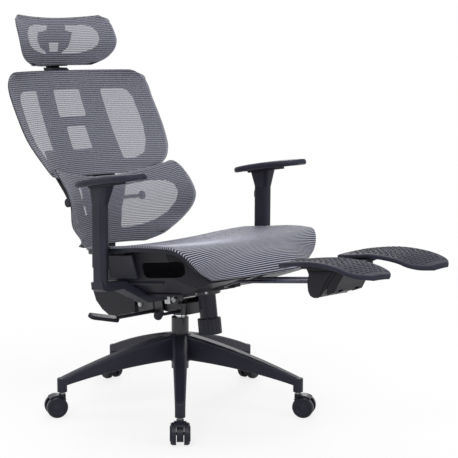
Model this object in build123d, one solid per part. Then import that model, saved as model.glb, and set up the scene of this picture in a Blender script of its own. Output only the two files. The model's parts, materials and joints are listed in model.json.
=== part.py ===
"""Reclining office chair with a slide-out footrest.

Millimetres, +Z up, sitter faces -Y, sitter's left is +X. The origin lies on the floor
under the gas column. The chair stands reclined: its seat is tipped back by SEAT_TILT,
its back leans behind it and its footrest is out.
"""
from build123d import *
from math import cos, radians, sin, tan
import os

os.makedirs("parts", exist_ok=True)

# ---------------------------------------------------------------- driving dimensions
RUN = 0.05  # radial clearance of a pin or shaft that turns or slides
GAP = 0.3  # gap between faces that pass each other or lie side by side

# star base
LEG_COUNT = 5
LEG_FACING = -40.31  # degrees from -Y, towards -X, of the first leg
STEM_CIRCLE_R = 350  # from the column to each caster stem
HUB_R = 32
HUB_BOTTOM = 139
HUB_TOP = 215
LEG_ROOT_W = 44
LEG_TIP_W = 28
LEG_TIP_TOP = 111
LEG_TIP_H = 25
LEG_ARCH = 9  # how far the middle of a leg stands above the straight line
SOCKET_R = 14
SOCKET_BOTTOM = 70

# casters
WHEEL_R = 30
WHEEL_W = 15
WHEEL_GAP = 21  # between the two wheels of a caster
WHEEL_BEVEL = 5
CASTER_TRAIL = 18
AXLE_R = 4
STEM_R = 5.5
STEM_IN_LEG = 32
STEM_IN_HOOD = 16
COLLAR_R = 8
HOOD_WEB_W = 18
HOOD_COVER_W = 33
HOOD_COVER_T = 2.5

# gas column
TUBE_R = 25
TUBE_BOTTOM = 112
TUBE_TOP = 263
TUBE_FLOOR = 6
PISTON_R = 14
PISTON_TOP = 312

# tilt mechanism
SEAT_TILT = 8.5  # degrees that the seat is tipped back in this pose
PIVOT_Y = -35  # the seat rocks about this line on the chassis
PIVOT_Z = 325
REAR_PIVOT_Y = 122  # the back turns about this line, in the seat's own level frame
REAR_PIVOT_Z = 310
PIVOT_R = 5
CHASSIS_W = 80
CHASSIS_FRONT = -62
CHASSIS_REAR = 50
CHASSIS_BOTTOM = 281
CHASSIS_TOP = 314
TAPER_R = 27
TAPER_BOTTOM = 272
EAR_R = 13
PLATE_T = 3
PLATE_W = 98
PLATE_TOP = 347  # level of the plate that carries the seat shell
PLATE_REAR = 137
FLANGE_BOTTOM = 283
FLANGE_FRONT = 24
NOSE_R = 38
NOSE_T = 12
BOLT_HEAD_R = 8
BOLT_HEAD_T = 4

# tension adjuster
CAN_Y = -118
CAN_R = 25
CAN_WALL = 2
CAN_BOTTOM = 268
KNOB_R = 33
KNOB_H = 46
KNOB_FLUTES = 18
KNOB_FLUTE_R = 2.2
SCREW_R = 5

# levers
LEVER_R = 4.5
LIFT_LEVER_Y = -40
LIFT_LEVER_Z = 289.5
LIFT_LEVER_REACH = 104
LIFT_GRIP_R = 14
LIFT_LEVER_INNER = 20  # where the rod ends, from the column's middle
LIFT_LEVER_SWING = 5
LIFT_PIN_X = 25
LIFT_PIN_R = 2.5
LIFT_PIN_HALF = 9
LOCK_LEVER_Y = 66
LOCK_LEVER_Z = 291
LOCK_LEVER_REACH = 182
LOCK_GRIP_L = 112
LOCK_GRIP_W = 27
GRIP_T = 11

# seat, in its own level frame
SEAT_HALF_W = 281
SEAT_REAR = 84
SEAT_CREST = 501
SEAT_SAG = 22
LIP_FRONT = -428
LIP_BOTTOM = 395
MESH_T = 3
RING_T = 15
RING_W = 44
SEAT_CLOTH_GAP = 0.5  # between the mesh and the frame behind it
SHELL_T = 4
SHELL_REAR = 50
SHELL_FRONT = -338
SHELL_SLOPE_Y = -160  # the floor rises ahead of this
SHELL_TAPER_Y = -235  # and the sides draw in ahead of this
SHELL_NOSE_Z = 386
SHELL_NOSE_W = 330
SHELL_FLOOR_W = 300
SHELL_SIDE_W = 2 * (SEAT_HALF_W - 50)
SHELL_SIDE_Z = 402
SHELL_RIM_W = 2 * (SEAT_HALF_W - 34)
SHELL_RIM_Z = 500
SIDE_WINDOW_REAR = -140
SIDE_WINDOW_L = 146
SIDE_WINDOW_BOTTOM = 408
SIDE_WINDOW_H = 42

# arms
ARM_X = SEAT_HALF_W + 21
ARM_FOOT_Y = -33.4
ARM_FOOT_Z = 389
ARM_LEAN = 8.5  # degrees that the posts lean forward of the seat's own upright
POST_D = 50
POST_W = 24
SLEEVE_WALL = 2.5
SLEEVE_BOTTOM = 56  # along the post, from its foot
POST_TOP = 218
SLEEVE_TOP = 276
PAD_L = 270
PAD_W = 95
PAD_T = 19
PAD_ARCH = 5
PAD_AHEAD = 35
PAD_PITCH = 1.2  # how far the pads rise forward of the seat
PAD_INSET = 8  # how far the pad's middle stands in from the post's
CARRIER_L = 120
CARRIER_W = 54
CARRIER_T = 7
SPIGOT_R = 9
SPIGOT_L = 8
SLEEVE_HEAD_L = 74
SLEEVE_HEAD_W = 42
SLEEVE_HEAD_H = 46
SLEEVE_HEAD_AHEAD = 4
BUTTON_W = 12
BUTTON_H = 20
BUTTON_Z = 196  # along the post, from its foot
BUTTON_OUT = 3
BUTTON_PRESS = 2.5
BRACKET_D = 52
BRACKET_T = 16
BRACKET_INNER = 96

# footrest, in the seat's level frame
ROD_R = 5
ROD_X = 30
ROD_Z = 374
ROD_REAR = -130
ROD_IN_HOUSING = 40
GUIDE_W = 24
GUIDE_H = 26
GUIDE_REAR = -110
GUIDE_FRONT = -215
HOUSING_W = 86
HOUSING_REAR = -571
HOUSING_BOTTOM = 336
HOUSING_TOP = 386
FLIP_Y = -592
FLIP_Z = 358
FLIP_PIN_R = 4
CHEEK_T = 8
FOOT_PAD_X = 106  # from the middle of the chair to the middle of a pad
FOOT_PAD_BANK = 2.5  # how far the pads tip in towards each other
FOOT_PAD_LEVEL = 436
FOOT_PAD_T = 11
FOOT_PAD_CROWN = 5  # how far a pad's edges hang below its middle
FOOT_PLATE_T = 8

# back, measured from the rear pivot
BAR_W = 60
BELLY_W = 110
BARREL_W = 86
BARREL_R = 14
BACK_MESH_T = 3
BACK_RING_T = 13
BACK_RING_INSET = 4
LUMBAR_RING_T = 11
HEAD_RING_T = 10
BACK_CLOTH_GAP = 0.15
LUMBAR_CLOTH_GAP = 0.8
HEAD_CLOTH_GAP = 0.3
YOKE_Y = 232
YOKE_Z = 282
YOKE_WALL = 6
YOKE_DEPTH = 72
CARRIAGE_H = 50
CARRIAGE_AHEAD = 2  # how far its front stands ahead of the shaft
SHAFT_R = 6
SHAFT_HALF = 136
LUG_T = 9
LUG_R = 11
WING_PIN_R = 3.5
PIN_IN_SHAFT = 15
WING_KNOB_R = 13.5
WING_KNOB_T = 9
HEAD_POST_W = 44
HEAD_POST_T = 10
HEAD_POST_FOOT = 610
HEAD_NECK_W = 104
HEAD_NECK_Z = 678
HEAD_EAR_R = 13
HEAD_PIVOT_Y = 497
HEAD_PIVOT_Z = 705
HEAD_BARREL_R = 12
HEAD_BARREL_W = 60


# ---------------------------------------------------------------- shared helpers
def save(name, shape):
    """Write one named sub-part."""
    export_step(shape, f"parts/{name}.step")


def tipped(shape):
    """Bring a shape from the seat's level frame into this pose."""
    return shape.rotate(Axis((0, PIVOT_Y, PIVOT_Z), (1, 0, 0)), -SEAT_TILT)


def tipped_point(y, z):
    """Bring a point of the seat's level frame into this pose."""
    a = radians(SEAT_TILT)
    dy, dz = y - PIVOT_Y, z - PIVOT_Z
    return PIVOT_Y + dy * cos(a) + dz * sin(a), PIVOT_Z - dy * sin(a) + dz * cos(a)


BACK_Y, BACK_Z = tipped_point(REAR_PIVOT_Y, REAR_PIVOT_Z)


def in_back(shape):
    """Bring a shape measured from the rear pivot to its place."""
    return Pos(0, BACK_Y, BACK_Z) * shape


def block(x, y, z):
    """A box from its three (low, high) pairs."""
    low = Vector(x[0], y[0], z[0])
    high = Vector(x[1], y[1], z[1])
    size = high - low
    return Pos(*((low + high) / 2)) * Box(size.X, size.Y, size.Z)


def rod_x(radius, x, y, z):
    """A round bar along X between two X values."""
    return Pos((x[0] + x[1]) / 2, y, z) * Rot(0, 90, 0) * Cylinder(radius, abs(x[1] - x[0]))


def rod_y(radius, x, y, z):
    """A round bar along Y between two Y values."""
    return Pos(x, (y[0] + y[1]) / 2, z) * Rot(90, 0, 0) * Cylinder(radius, abs(y[1] - y[0]))


def rod_z(radius, x, y, z):
    """A round bar along Z between two Z values."""
    return Pos(x, y, (z[0] + z[1]) / 2) * Cylinder(radius, abs(z[1] - z[0]))


def side_profile(points, half_width):
    """A shape whose outline in Y and Z is given, as wide as twice half_width."""
    face = Plane.YZ * make_face(Polyline(*points, close=True))
    return extrude(face, half_width, both=True)


def front_profile(points, y):
    """A shape whose outline in X and Z is given, between two Y values."""
    face = Plane((0, y[1], 0), x_dir=(1, 0, 0), z_dir=(0, -1, 0)) * make_face(
        Polyline(*points, close=True)
    )
    return extrude(face, y[1] - y[0])


def mirrored(shape):
    """The same shape on the other side of the chair."""
    return mirror(shape, Plane.YZ)


def bowed_section(row, lift, depth):
    """One cross-section of a bowed panel.

    A row is (y, z, pitch, half width, rise). The panel's face looks up at pitch 0 and
    forward at pitch 90, and its edges stand towards that side of its middle by rise.
    """
    y, z, pitch, half, rise = row
    a = radians(pitch)
    plane = Plane((0, y, z), x_dir=(1, 0, 0), z_dir=(0, -cos(a), -sin(a)))
    low = lift - depth
    outline = [
        ThreePointArc((-half, rise + lift), (0, lift), (half, rise + lift)),
        Line((half, rise + lift), (half, rise + low)),
        ThreePointArc((half, rise + low), (0, low), (-half, rise + low)),
        Line((-half, rise + low), (-half, rise + lift)),
    ]
    return plane * make_face(outline)


def bowed_panel(rows, lift, depth):
    """A bowed panel through its rows, lift above its face line and depth thick."""
    return loft([bowed_section(row, lift, depth) for row in rows])


def narrowed(rows, by):
    """The same rows with their edges drawn in along the same bow."""
    slim = []
    for y, z, pitch, half, rise in rows:
        bow = (half * half + rise * rise) / (2 * abs(rise))
        inner = half - by
        low = bow - (bow * bow - inner * inner) ** 0.5
        slim.append((y, z, pitch, inner, low if rise > 0 else -low))
    return slim


# ---------------------------------------------------------------- star base
def leg():
    """One leg along +X, with the socket for a caster stem at its tip."""
    stations = 5
    inner = HUB_R * 0.5
    outer = STEM_CIRCLE_R
    sections = []
    for step in range(stations):
        t = step / (stations - 1)
        x = inner + (outer - inner) * t
        arch = 4 * LEG_ARCH * t * (1 - t)
        top = HUB_TOP + (LEG_TIP_TOP - HUB_TOP) * t + arch
        bottom = HUB_BOTTOM + (LEG_TIP_TOP - LEG_TIP_H - HUB_BOTTOM) * t + arch
        width = LEG_ROOT_W + (LEG_TIP_W - LEG_ROOT_W) * t
        height = top - bottom
        corner = min(width, height) * 0.22
        plane = Plane((x, 0, (top + bottom) / 2), x_dir=(0, 1, 0), z_dir=(1, 0, 0))
        sections.append(plane * RectangleRounded(width, height, corner))
    arm = loft(sections)
    socket = rod_z(SOCKET_R, STEM_CIRCLE_R, 0, (SOCKET_BOTTOM, LEG_TIP_TOP - 1))
    socket = fillet(socket.edges().sort_by(Axis.Z)[-1], 4)
    return arm + socket


def stem_hole():
    """The bore in a leg's tip that holds the caster stem."""
    depth = (SOCKET_BOTTOM - 1, SOCKET_BOTTOM + STEM_IN_LEG + GAP)
    return rod_z(STEM_R + RUN, STEM_CIRCLE_R, 0, depth)


def leg_turn(index):
    """The turn about Z that brings +X onto a leg."""
    return Rot(0, 0, -90 + LEG_FACING + index * 360 / LEG_COUNT)


hub = rod_z(HUB_R, 0, 0, (HUB_BOTTOM - 4, HUB_TOP))
star_base = fillet(hub.edges().sort_by(Axis.Z)[-1], 4)
one_leg = leg()
for index in range(LEG_COUNT):
    star_base += leg_turn(index) * one_leg
for index in range(LEG_COUNT):
    star_base -= leg_turn(index) * stem_hole()
star_base -= rod_z(TUBE_R, 0, 0, (TUBE_BOTTOM - 1, HUB_TOP + LEG_ARCH + 1))
save("star_base", star_base)

# ---------------------------------------------------------------- casters
STEM_Z0 = SOCKET_BOTTOM - GAP - 6 - STEM_IN_HOOD
WHEEL_X = STEM_CIRCLE_R + CASTER_TRAIL


def caster_stem():
    """Steel stem: a pin in the leg, a collar under it and a foot in the hood."""
    pin = rod_z(STEM_R, STEM_CIRCLE_R, 0, (STEM_Z0, SOCKET_BOTTOM + STEM_IN_LEG))
    collar = rod_z(COLLAR_R, STEM_CIRCLE_R, 0, (SOCKET_BOTTOM - GAP - 6, SOCKET_BOTTOM - GAP))
    return pin + collar


def caster_hood():
    """Nylon body between the wheels, with a cover over their tops."""
    boss = rod_z(HOOD_WEB_W / 2 + 1, STEM_CIRCLE_R, 0, (26, SOCKET_BOTTOM - GAP - 6))
    half_web = HOOD_WEB_W / 2
    web = rod_y(WHEEL_R - 6, WHEEL_X, (-half_web, half_web), WHEEL_R)
    web &= block((STEM_CIRCLE_R - 12, WHEEL_X + 30), (-half_web, half_web), (12, 60))
    half_cover = HOOD_COVER_W / 2
    cover_r = WHEEL_R + 1 + HOOD_COVER_T
    cover = rod_y(cover_r, WHEEL_X, (-half_cover, half_cover), WHEEL_R)
    cover -= rod_y(WHEEL_R + 1, WHEEL_X, (-half_cover - 1, half_cover + 1), WHEEL_R)
    top = block((STEM_CIRCLE_R - 20, WHEEL_X + 20), (-half_cover, half_cover), (WHEEL_R + 20, 70))
    web_link = block(
        (STEM_CIRCLE_R - 8, WHEEL_X + 14), (-half_web, half_web), (WHEEL_R, WHEEL_R + 30)
    )
    hood = boss + web + (cover & top) + web_link
    hood -= rod_z(STEM_R, STEM_CIRCLE_R, 0, (STEM_Z0, 90))
    hood -= rod_y(AXLE_R + RUN, WHEEL_X, (-half_web - 2, half_web + 2), WHEEL_R)
    return hood


def caster_wheels():
    """Two wheels on one axle."""
    axle = rod_y(AXLE_R, WHEEL_X, (-WHEEL_GAP / 2, WHEEL_GAP / 2), WHEEL_R)
    pair = axle
    for side in (-1, 1):
        middle = side * (WHEEL_GAP + WHEEL_W) / 2
        wheel = Pos(WHEEL_X, middle, WHEEL_R) * Rot(90, 0, 0) * Cylinder(WHEEL_R, WHEEL_W)
        rim = wheel.edges().sort_by(Axis.Y)[-1 if side > 0 else 0]
        pair += chamfer(rim, WHEEL_BEVEL, WHEEL_BEVEL * 0.6)
    return pair


stem_shape = caster_stem()
hood_shape = caster_hood()
wheels_shape = caster_wheels()
for index in range(LEG_COUNT):
    turn = leg_turn(index)
    save(f"caster_{index + 1}_stem", turn * stem_shape)
    save(f"caster_{index + 1}_hood", turn * hood_shape)
    save(f"caster_{index + 1}_wheels", turn * wheels_shape)

# ---------------------------------------------------------------- gas column
tube = rod_z(TUBE_R, 0, 0, (TUBE_BOTTOM, TUBE_TOP))
tube = fillet(tube.edges().sort_by(Axis.Z)[-1], 2)
tube -= rod_z(PISTON_R + RUN, 0, 0, (TUBE_BOTTOM + TUBE_FLOOR, TUBE_TOP + 1))
save("gas_tube", tube)
save("gas_piston", rod_z(PISTON_R, 0, 0, (TUBE_BOTTOM + TUBE_FLOOR + GAP, PISTON_TOP)))


# ---------------------------------------------------------------- chassis on the column
def chassis():
    """Pressed box around the column's taper, with ears for the front pivot."""
    half = CHASSIS_W / 2
    box = block((-half, half), (CHASSIS_FRONT, CHASSIS_REAR), (CHASSIS_BOTTOM, CHASSIS_TOP))
    box = fillet(box.edges().filter_by(Axis.Z), 12)
    ear_gap = CHASSIS_W / 2 - 8
    ears = rod_x(EAR_R, (-half, half), PIVOT_Y, PIVOT_Z)
    ears += block((-half, half), (PIVOT_Y - EAR_R, PIVOT_Y + EAR_R), (CHASSIS_TOP - 4, PIVOT_Z))
    ears -= block((-ear_gap, ear_gap), (PIVOT_Y - 20, PIVOT_Y + 20), (CHASSIS_TOP, PIVOT_Z + 20))
    body = box + ears + rod_z(TAPER_R, 0, 0, (TAPER_BOTTOM, CHASSIS_TOP + 2))
    body -= rod_z(PISTON_R + RUN, 0, 0, (TAPER_BOTTOM - 1, CHASSIS_TOP + 3))
    body -= rod_x(PIVOT_R + RUN, (-half - 1, half + 1), PIVOT_Y, PIVOT_Z)
    room_x = (-half - 1, -LIFT_LEVER_INNER + 1)
    room_y = (LIFT_LEVER_Y - LEVER_R - GAP, LIFT_LEVER_Y + LEVER_R + GAP)
    rise = (half - LIFT_PIN_X) * tan(radians(LIFT_LEVER_SWING)) + GAP
    body -= block(room_x, room_y, (LIFT_LEVER_Z - LEVER_R - 2 * GAP, LIFT_LEVER_Z + LEVER_R + rise))
    pin_y = (LIFT_LEVER_Y - LIFT_PIN_HALF - GAP, LIFT_LEVER_Y + LIFT_PIN_HALF + GAP)
    return body - rod_y(LIFT_PIN_R + RUN, -LIFT_PIN_X, pin_y, LIFT_LEVER_Z)


save("chassis", chassis())


def pivot_bolt(y, z):
    """A bolt along X through both flanges of the seat plate, headed at both ends."""
    half = PLATE_W / 2
    shank = rod_x(PIVOT_R, (-half - BOLT_HEAD_T, half + BOLT_HEAD_T), y, z)
    heads = rod_x(BOLT_HEAD_R, (-half - BOLT_HEAD_T, -half), y, z)
    heads += rod_x(BOLT_HEAD_R, (half, half + BOLT_HEAD_T), y, z)
    return shank + heads


# ---------------------------------------------------------------- seat plate
def seat_plate():
    """Pressed steel channel that rocks on the chassis and carries the shell."""
    half = PLATE_W / 2
    top = block((-half, half), (-70, PLATE_REAR), (PLATE_TOP - PLATE_T, PLATE_TOP))
    nose = rod_z(NOSE_R, 0, CAN_Y, (PLATE_TOP - NOSE_T, PLATE_TOP))
    neck = [(-half, -70), (-NOSE_R, CAN_Y), (NOSE_R, CAN_Y), (half, -70)]
    neck_plate = Pos(0, 0, PLATE_TOP - NOSE_T) * extrude(make_face(Polyline(*neck, close=True)), NOSE_T)
    can_room = rod_z(CAN_R + RUN, 0, CAN_Y, (PLATE_TOP - NOSE_T - 1, PLATE_TOP - PLATE_T))
    plate = top + nose + neck_plate - can_room
    ear = PIVOT_R + 11
    for side in (-1, 1):
        x = (half - PLATE_T, half) if side > 0 else (-half, -half + PLATE_T)
        plate += block(x, (-70, PLATE_REAR), (PIVOT_Z - 4, PLATE_TOP))
        plate += block(x, (FLANGE_FRONT, PLATE_REAR), (FLANGE_BOTTOM, PLATE_TOP))
        plate += rod_x(ear, x, PIVOT_Y, PIVOT_Z)
    plate -= rod_x(PIVOT_R, (-half - 1, half + 1), PIVOT_Y, PIVOT_Z)
    plate -= rod_x(PIVOT_R, (-half - 1, half + 1), REAR_PIVOT_Y, REAR_PIVOT_Z)
    plate -= rod_x(LEVER_R + RUN, (-half - 1, half + 1), LOCK_LEVER_Y, LOCK_LEVER_Z)
    plate -= rod_z(SCREW_R + RUN, 0, CAN_Y, (PLATE_TOP - 10, PLATE_TOP + 1))
    return plate


save("seat_plate", tipped(seat_plate()))
save("pivot_bolt_front", tipped(pivot_bolt(PIVOT_Y, PIVOT_Z)))
save("pivot_bolt_rear", tipped(pivot_bolt(REAR_PIVOT_Y, REAR_PIVOT_Z)))

# ---------------------------------------------------------------- tension adjuster
can = rod_z(CAN_R, 0, CAN_Y, (CAN_BOTTOM, PLATE_TOP - PLATE_T))
can -= rod_z(CAN_R - CAN_WALL, 0, CAN_Y, (CAN_BOTTOM + CAN_WALL, PLATE_TOP))
can -= rod_z(SCREW_R + RUN, 0, CAN_Y, (CAN_BOTTOM - 1, CAN_BOTTOM + 5))
save("spring_can", tipped(can))


def tension_knob():
    """Fluted knob with the screw that it drives up through the can."""
    top = CAN_BOTTOM - GAP
    knob = rod_z(KNOB_R, 0, CAN_Y, (top - KNOB_H, top))
    knob = fillet(knob.edges().filter_by(GeomType.CIRCLE), 3)
    flute = rod_z(KNOB_FLUTE_R, KNOB_R + 0.6, 0, (top - KNOB_H - 1, top + 1))
    for index in range(KNOB_FLUTES):
        knob -= Pos(0, CAN_Y, 0) * Rot(0, 0, index * 360 / KNOB_FLUTES) * flute
    return knob + rod_z(SCREW_R, 0, CAN_Y, (top - 4, PLATE_TOP - GAP))


save("tension_knob", tipped(tension_knob()))


# ---------------------------------------------------------------- levers
def lift_lever():
    """Column lever: a rod in the chassis with a round paddle."""
    tip = -LIFT_LEVER_REACH
    rod = rod_x(LEVER_R, (tip, -LIFT_LEVER_INNER), LIFT_LEVER_Y, LIFT_LEVER_Z)
    pin_y = (LIFT_LEVER_Y - LIFT_PIN_HALF, LIFT_LEVER_Y + LIFT_PIN_HALF)
    rod += rod_y(LIFT_PIN_R, -LIFT_PIN_X, pin_y, LIFT_LEVER_Z)
    grip = Pos(tip - 10, LIFT_LEVER_Y, LIFT_LEVER_Z) * Rot(90, 0, 0) * Cylinder(LIFT_GRIP_R, GRIP_T)
    return rod + fillet(grip.edges().filter_by(GeomType.CIRCLE), 3)


def lock_lever():
    """Tilt-lock lever: a rod through the seat plate with a flat oval paddle."""
    tip = -LOCK_LEVER_REACH
    rod = rod_x(LEVER_R, (tip, PLATE_W / 2 - PLATE_T - 2), LOCK_LEVER_Y, LOCK_LEVER_Z)
    oval = SlotOverall(LOCK_GRIP_L, LOCK_GRIP_W)
    grip = extrude(oval, GRIP_T / 2, both=True)
    grip = fillet(grip.edges().group_by(Axis.Z)[-1], 3)
    grip = fillet(grip.edges().group_by(Axis.Z)[0], 3)
    place = Pos(tip - LOCK_GRIP_L / 2 + 12, LOCK_LEVER_Y + 4, LOCK_LEVER_Z + 5) * Rot(28, 15, 0)
    return rod + place * grip


save("lift_lever", lift_lever())
save("lock_lever", tipped(lock_lever()))

# ---------------------------------------------------------------- seat
SEAT_MIDDLE = SEAT_CREST - SEAT_SAG
SEAT_ROWS = [
    (SEAT_REAR, SEAT_MIDDLE + 7, 0, SEAT_HALF_W - 60, SEAT_SAG - 14),
    (SEAT_REAR - 14, SEAT_MIDDLE + 4, 0, SEAT_HALF_W - 24, SEAT_SAG - 8),
    (SEAT_REAR - 46, SEAT_MIDDLE + 1, 0, SEAT_HALF_W - 2, SEAT_SAG - 1),
    (-80, SEAT_MIDDLE, 0, SEAT_HALF_W, SEAT_SAG),
    (-196, SEAT_MIDDLE + 3, 0, SEAT_HALF_W - 1, SEAT_SAG - 4),
    (LIP_FRONT + 166, SEAT_MIDDLE + 3, 0, SEAT_HALF_W - 10, 13),
    (LIP_FRONT + 124, SEAT_MIDDLE + 1, 3, SEAT_HALF_W - 21, 7),
    (LIP_FRONT + 103, SEAT_MIDDLE - 2, 17, SEAT_HALF_W - 35, -5),
    (LIP_FRONT + 85, SEAT_MIDDLE - 7, 30, SEAT_HALF_W - 47, -19),
    (LIP_FRONT + 66, SEAT_MIDDLE - 15, 43, SEAT_HALF_W - 59, -34),
    (LIP_FRONT + 39, SEAT_MIDDLE - 28, 60, SEAT_HALF_W - 74, -56),
    (LIP_FRONT + 15, SEAT_MIDDLE - 51, 76, SEAT_HALF_W - 89, -76),
    (LIP_FRONT + 1, LIP_BOTTOM, 88, SEAT_HALF_W - 111, -79),
]
save("seat_mesh", tipped(bowed_panel(SEAT_ROWS, 0, MESH_T)))


def seat_frame():
    """Ring that stretches the mesh, open in the middle."""
    ring = bowed_panel(narrowed(SEAT_ROWS, 3), -MESH_T - SEAT_CLOTH_GAP, RING_T)
    hole_half = SEAT_HALF_W - RING_W
    rear, front = SEAT_REAR - RING_W, LIP_FRONT + RING_W + 122
    opening = Pos(0, (rear + front) / 2, SEAT_CREST - 60) * extrude(
        RectangleRounded(2 * hole_half, rear - front, 70), 100, both=True
    )
    return ring - opening


frame_ring = seat_frame()
save("seat_frame", tipped(frame_ring))


def tub(inset, lift):
    """The shell's outer body, or with an inset the room inside it."""
    floor = (SHELL_FLOOR_W / 2 - inset * 0.6, PLATE_TOP + inset)
    side = (SHELL_SIDE_W / 2 - inset, SHELL_SIDE_Z + inset * 0.3)
    rim = (SHELL_RIM_W / 2 - inset, SHELL_RIM_Z + lift)
    rear, front = SHELL_REAR - inset, SHELL_FRONT + inset
    outline = [(-x, z) for x, z in (rim, side, floor)] + [floor, side, rim]
    body = front_profile(outline, (front, rear))
    edge = [(SHELL_RIM_W / 2 + 10, rear + 10), (SHELL_RIM_W / 2 + 10, SHELL_TAPER_Y)]
    edge.append((SHELL_NOSE_W / 2 - inset, front))
    plan = edge + [(-x, y) for x, y in reversed(edge)]
    body &= Pos(0, 0, PLATE_TOP - 10) * extrude(make_face(Polyline(*plan, close=True)), 250)
    ramp = [(rear, PLATE_TOP + inset), (SHELL_SLOPE_Y, PLATE_TOP + inset)]
    ramp += [(front, SHELL_NOSE_Z + inset), (front, SHELL_RIM_Z + 50), (rear, SHELL_RIM_Z + 50)]
    return body & side_profile(ramp, SHELL_RIM_W)


def seat_shell():
    """Moulded tub under the ring: floor, slanting sides and both end walls."""
    shell = tub(0, 0) - tub(SHELL_T, 9)
    window_y = (SIDE_WINDOW_REAR - SIDE_WINDOW_L, SIDE_WINDOW_REAR)
    window_z = (SIDE_WINDOW_BOTTOM, SIDE_WINDOW_BOTTOM + SIDE_WINDOW_H)
    window = block((-SEAT_HALF_W, SEAT_HALF_W), window_y, window_z)
    window = fillet(window.edges().filter_by(Axis.X), 14)
    shell -= window
    for side in (-1, 1):
        x = side * ROD_X
        slot_x = (x - GUIDE_W / 2 - GAP, x + GUIDE_W / 2 + GAP)
        slot_z = (PLATE_TOP + SHELL_T, ROD_Z + GUIDE_H / 2 + GAP)
        shell -= block(slot_x, (SHELL_FRONT - 1, SHELL_SLOPE_Y + 2), slot_z)
    shell -= rod_z(SCREW_R + 2, 0, CAN_Y, (PLATE_TOP - 1, PLATE_TOP + SHELL_T + 1))
    cover = MESH_T + SEAT_CLOTH_GAP + RING_T + GAP
    return shell - bowed_panel(SEAT_ROWS, 60, 60 + cover) - Pos(0, 0, -2 * GAP) * frame_ring


shell_shape = seat_shell()
save("seat_shell", tipped(shell_shape))


# ---------------------------------------------------------------- footrest runners
def rod_guide(side):
    """Runner on the shell's floor that a footrest rod slides through."""
    x = side * ROD_X
    floor = PLATE_TOP + SHELL_T
    rail_y = (GUIDE_FRONT, GUIDE_REAR)
    rail = block((x - GUIDE_W / 2, x + GUIDE_W / 2), rail_y, (floor, ROD_Z + GUIDE_H / 2))
    return rail - rod_y(ROD_R + RUN, x, (GUIDE_FRONT - 1, GUIDE_REAR + 1), ROD_Z)


SIDES = {"right": -1, "left": 1}
for name, side in SIDES.items():
    save(f"rod_guide_{name}", tipped(rod_guide(side)))


# ---------------------------------------------------------------- arms
def arm_frame(side):
    """Place of a post's foot: local Z runs up the post."""
    a = radians(ARM_LEAN)
    return Plane(
        (side * ARM_X, ARM_FOOT_Y, ARM_FOOT_Z), x_dir=(1, 0, 0), z_dir=(0, -sin(a), cos(a))
    ).location


def post_section(grow):
    """The post's rounded section, grown by a wall."""
    return RectangleRounded(POST_W + 2 * grow, POST_D + 2 * grow, POST_W / 2 + grow - 0.5)


def arm_bracket(side):
    """Bracket under the shell with the fixed post on its end."""
    drop = GAP
    floor, wall = SHELL_FLOOR_W / 2, SHELL_SIDE_W / 2
    reach = ARM_X + POST_W / 2
    upper = [(BRACKET_INNER, PLATE_TOP - drop), (floor, PLATE_TOP - drop)]
    upper += [(wall + 1, SHELL_SIDE_Z - drop - 1), (reach, SHELL_SIDE_Z + 4)]
    lower = [(reach, ARM_FOOT_Z - 2), (reach - 14, ARM_FOOT_Z - 10), (wall + 14, SHELL_SIDE_Z - 22)]
    lower += [(floor + 12, PLATE_TOP - BRACKET_T), (BRACKET_INNER, PLATE_TOP - BRACKET_T)]
    y = (ARM_FOOT_Y - BRACKET_D / 2, ARM_FOOT_Y + BRACKET_D / 2)
    foot = front_profile(upper + lower, y)
    post = Pos(ARM_X, 0, 0) * extrude(post_section(0), POST_TOP)
    post = Pos(-ARM_X, 0, 0) * arm_frame(1) * post
    bracket = foot + post
    return bracket if side > 0 else mirrored(bracket)


def arm_sleeve(side):
    """Outer sleeve that slides on the post and flares out under the pad."""
    length = SLEEVE_TOP - SLEEVE_BOTTOM
    sleeve = Pos(0, 0, SLEEVE_BOTTOM) * extrude(post_section(SLEEVE_WALL), length - 12)
    level = Pos(-PAD_INSET / 2 * side, -SLEEVE_HEAD_AHEAD, SLEEVE_TOP) * Rot(-ARM_LEAN - PAD_PITCH, 0, 0)
    head = loft(
        [
            Pos(0, 0, SLEEVE_TOP - SLEEVE_HEAD_H) * post_section(SLEEVE_WALL),
            level * RectangleRounded(SLEEVE_HEAD_W, SLEEVE_HEAD_L, POST_W / 2 + 2),
        ]
    )
    sleeve += head
    sleeve -= Pos(0, 0, SLEEVE_BOTTOM - 1) * extrude(post_section(RUN), length - 24)
    button_hole = block(
        (-BUTTON_W / 2 - GAP, BUTTON_W / 2 + GAP),
        (POST_D / 2 - 2, POST_D / 2 + 20),
        (BUTTON_Z - GAP, BUTTON_Z + BUTTON_H + GAP),
    )
    sleeve -= button_hole
    sleeve -= level * Pos(0, 0, -SPIGOT_L - GAP) * Cylinder(
        SPIGOT_R + RUN, 2 * SPIGOT_L, align=(Align.CENTER, Align.CENTER, Align.MIN)
    )
    return tipped(arm_frame(side) * sleeve)


def arm_button(side):
    """Height release on the rear of the sleeve."""
    start = POST_D / 2 + RUN + BUTTON_PRESS + GAP
    stop = POST_D / 2 + SLEEVE_WALL + BUTTON_OUT
    pad = block((-BUTTON_W / 2, BUTTON_W / 2), (start, stop), (BUTTON_Z, BUTTON_Z + BUTTON_H))
    pad = fillet(pad.edges().filter_by(Axis.Y), 2)
    return tipped(arm_frame(side) * pad)


def swivel_place(side):
    """Place of the pad's swivel on top of the sleeve, level with the seat."""
    a = radians(ARM_LEAN)
    y = ARM_FOOT_Y - SLEEVE_HEAD_AHEAD * cos(a) - SLEEVE_TOP * sin(a)
    z = ARM_FOOT_Z - SLEEVE_HEAD_AHEAD * sin(a) + SLEEVE_TOP * cos(a)
    return Pos(side * (ARM_X - PAD_INSET / 2), y, z) * Rot(-PAD_PITCH, 0, 0) * Pos(0, 0, GAP)


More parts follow.
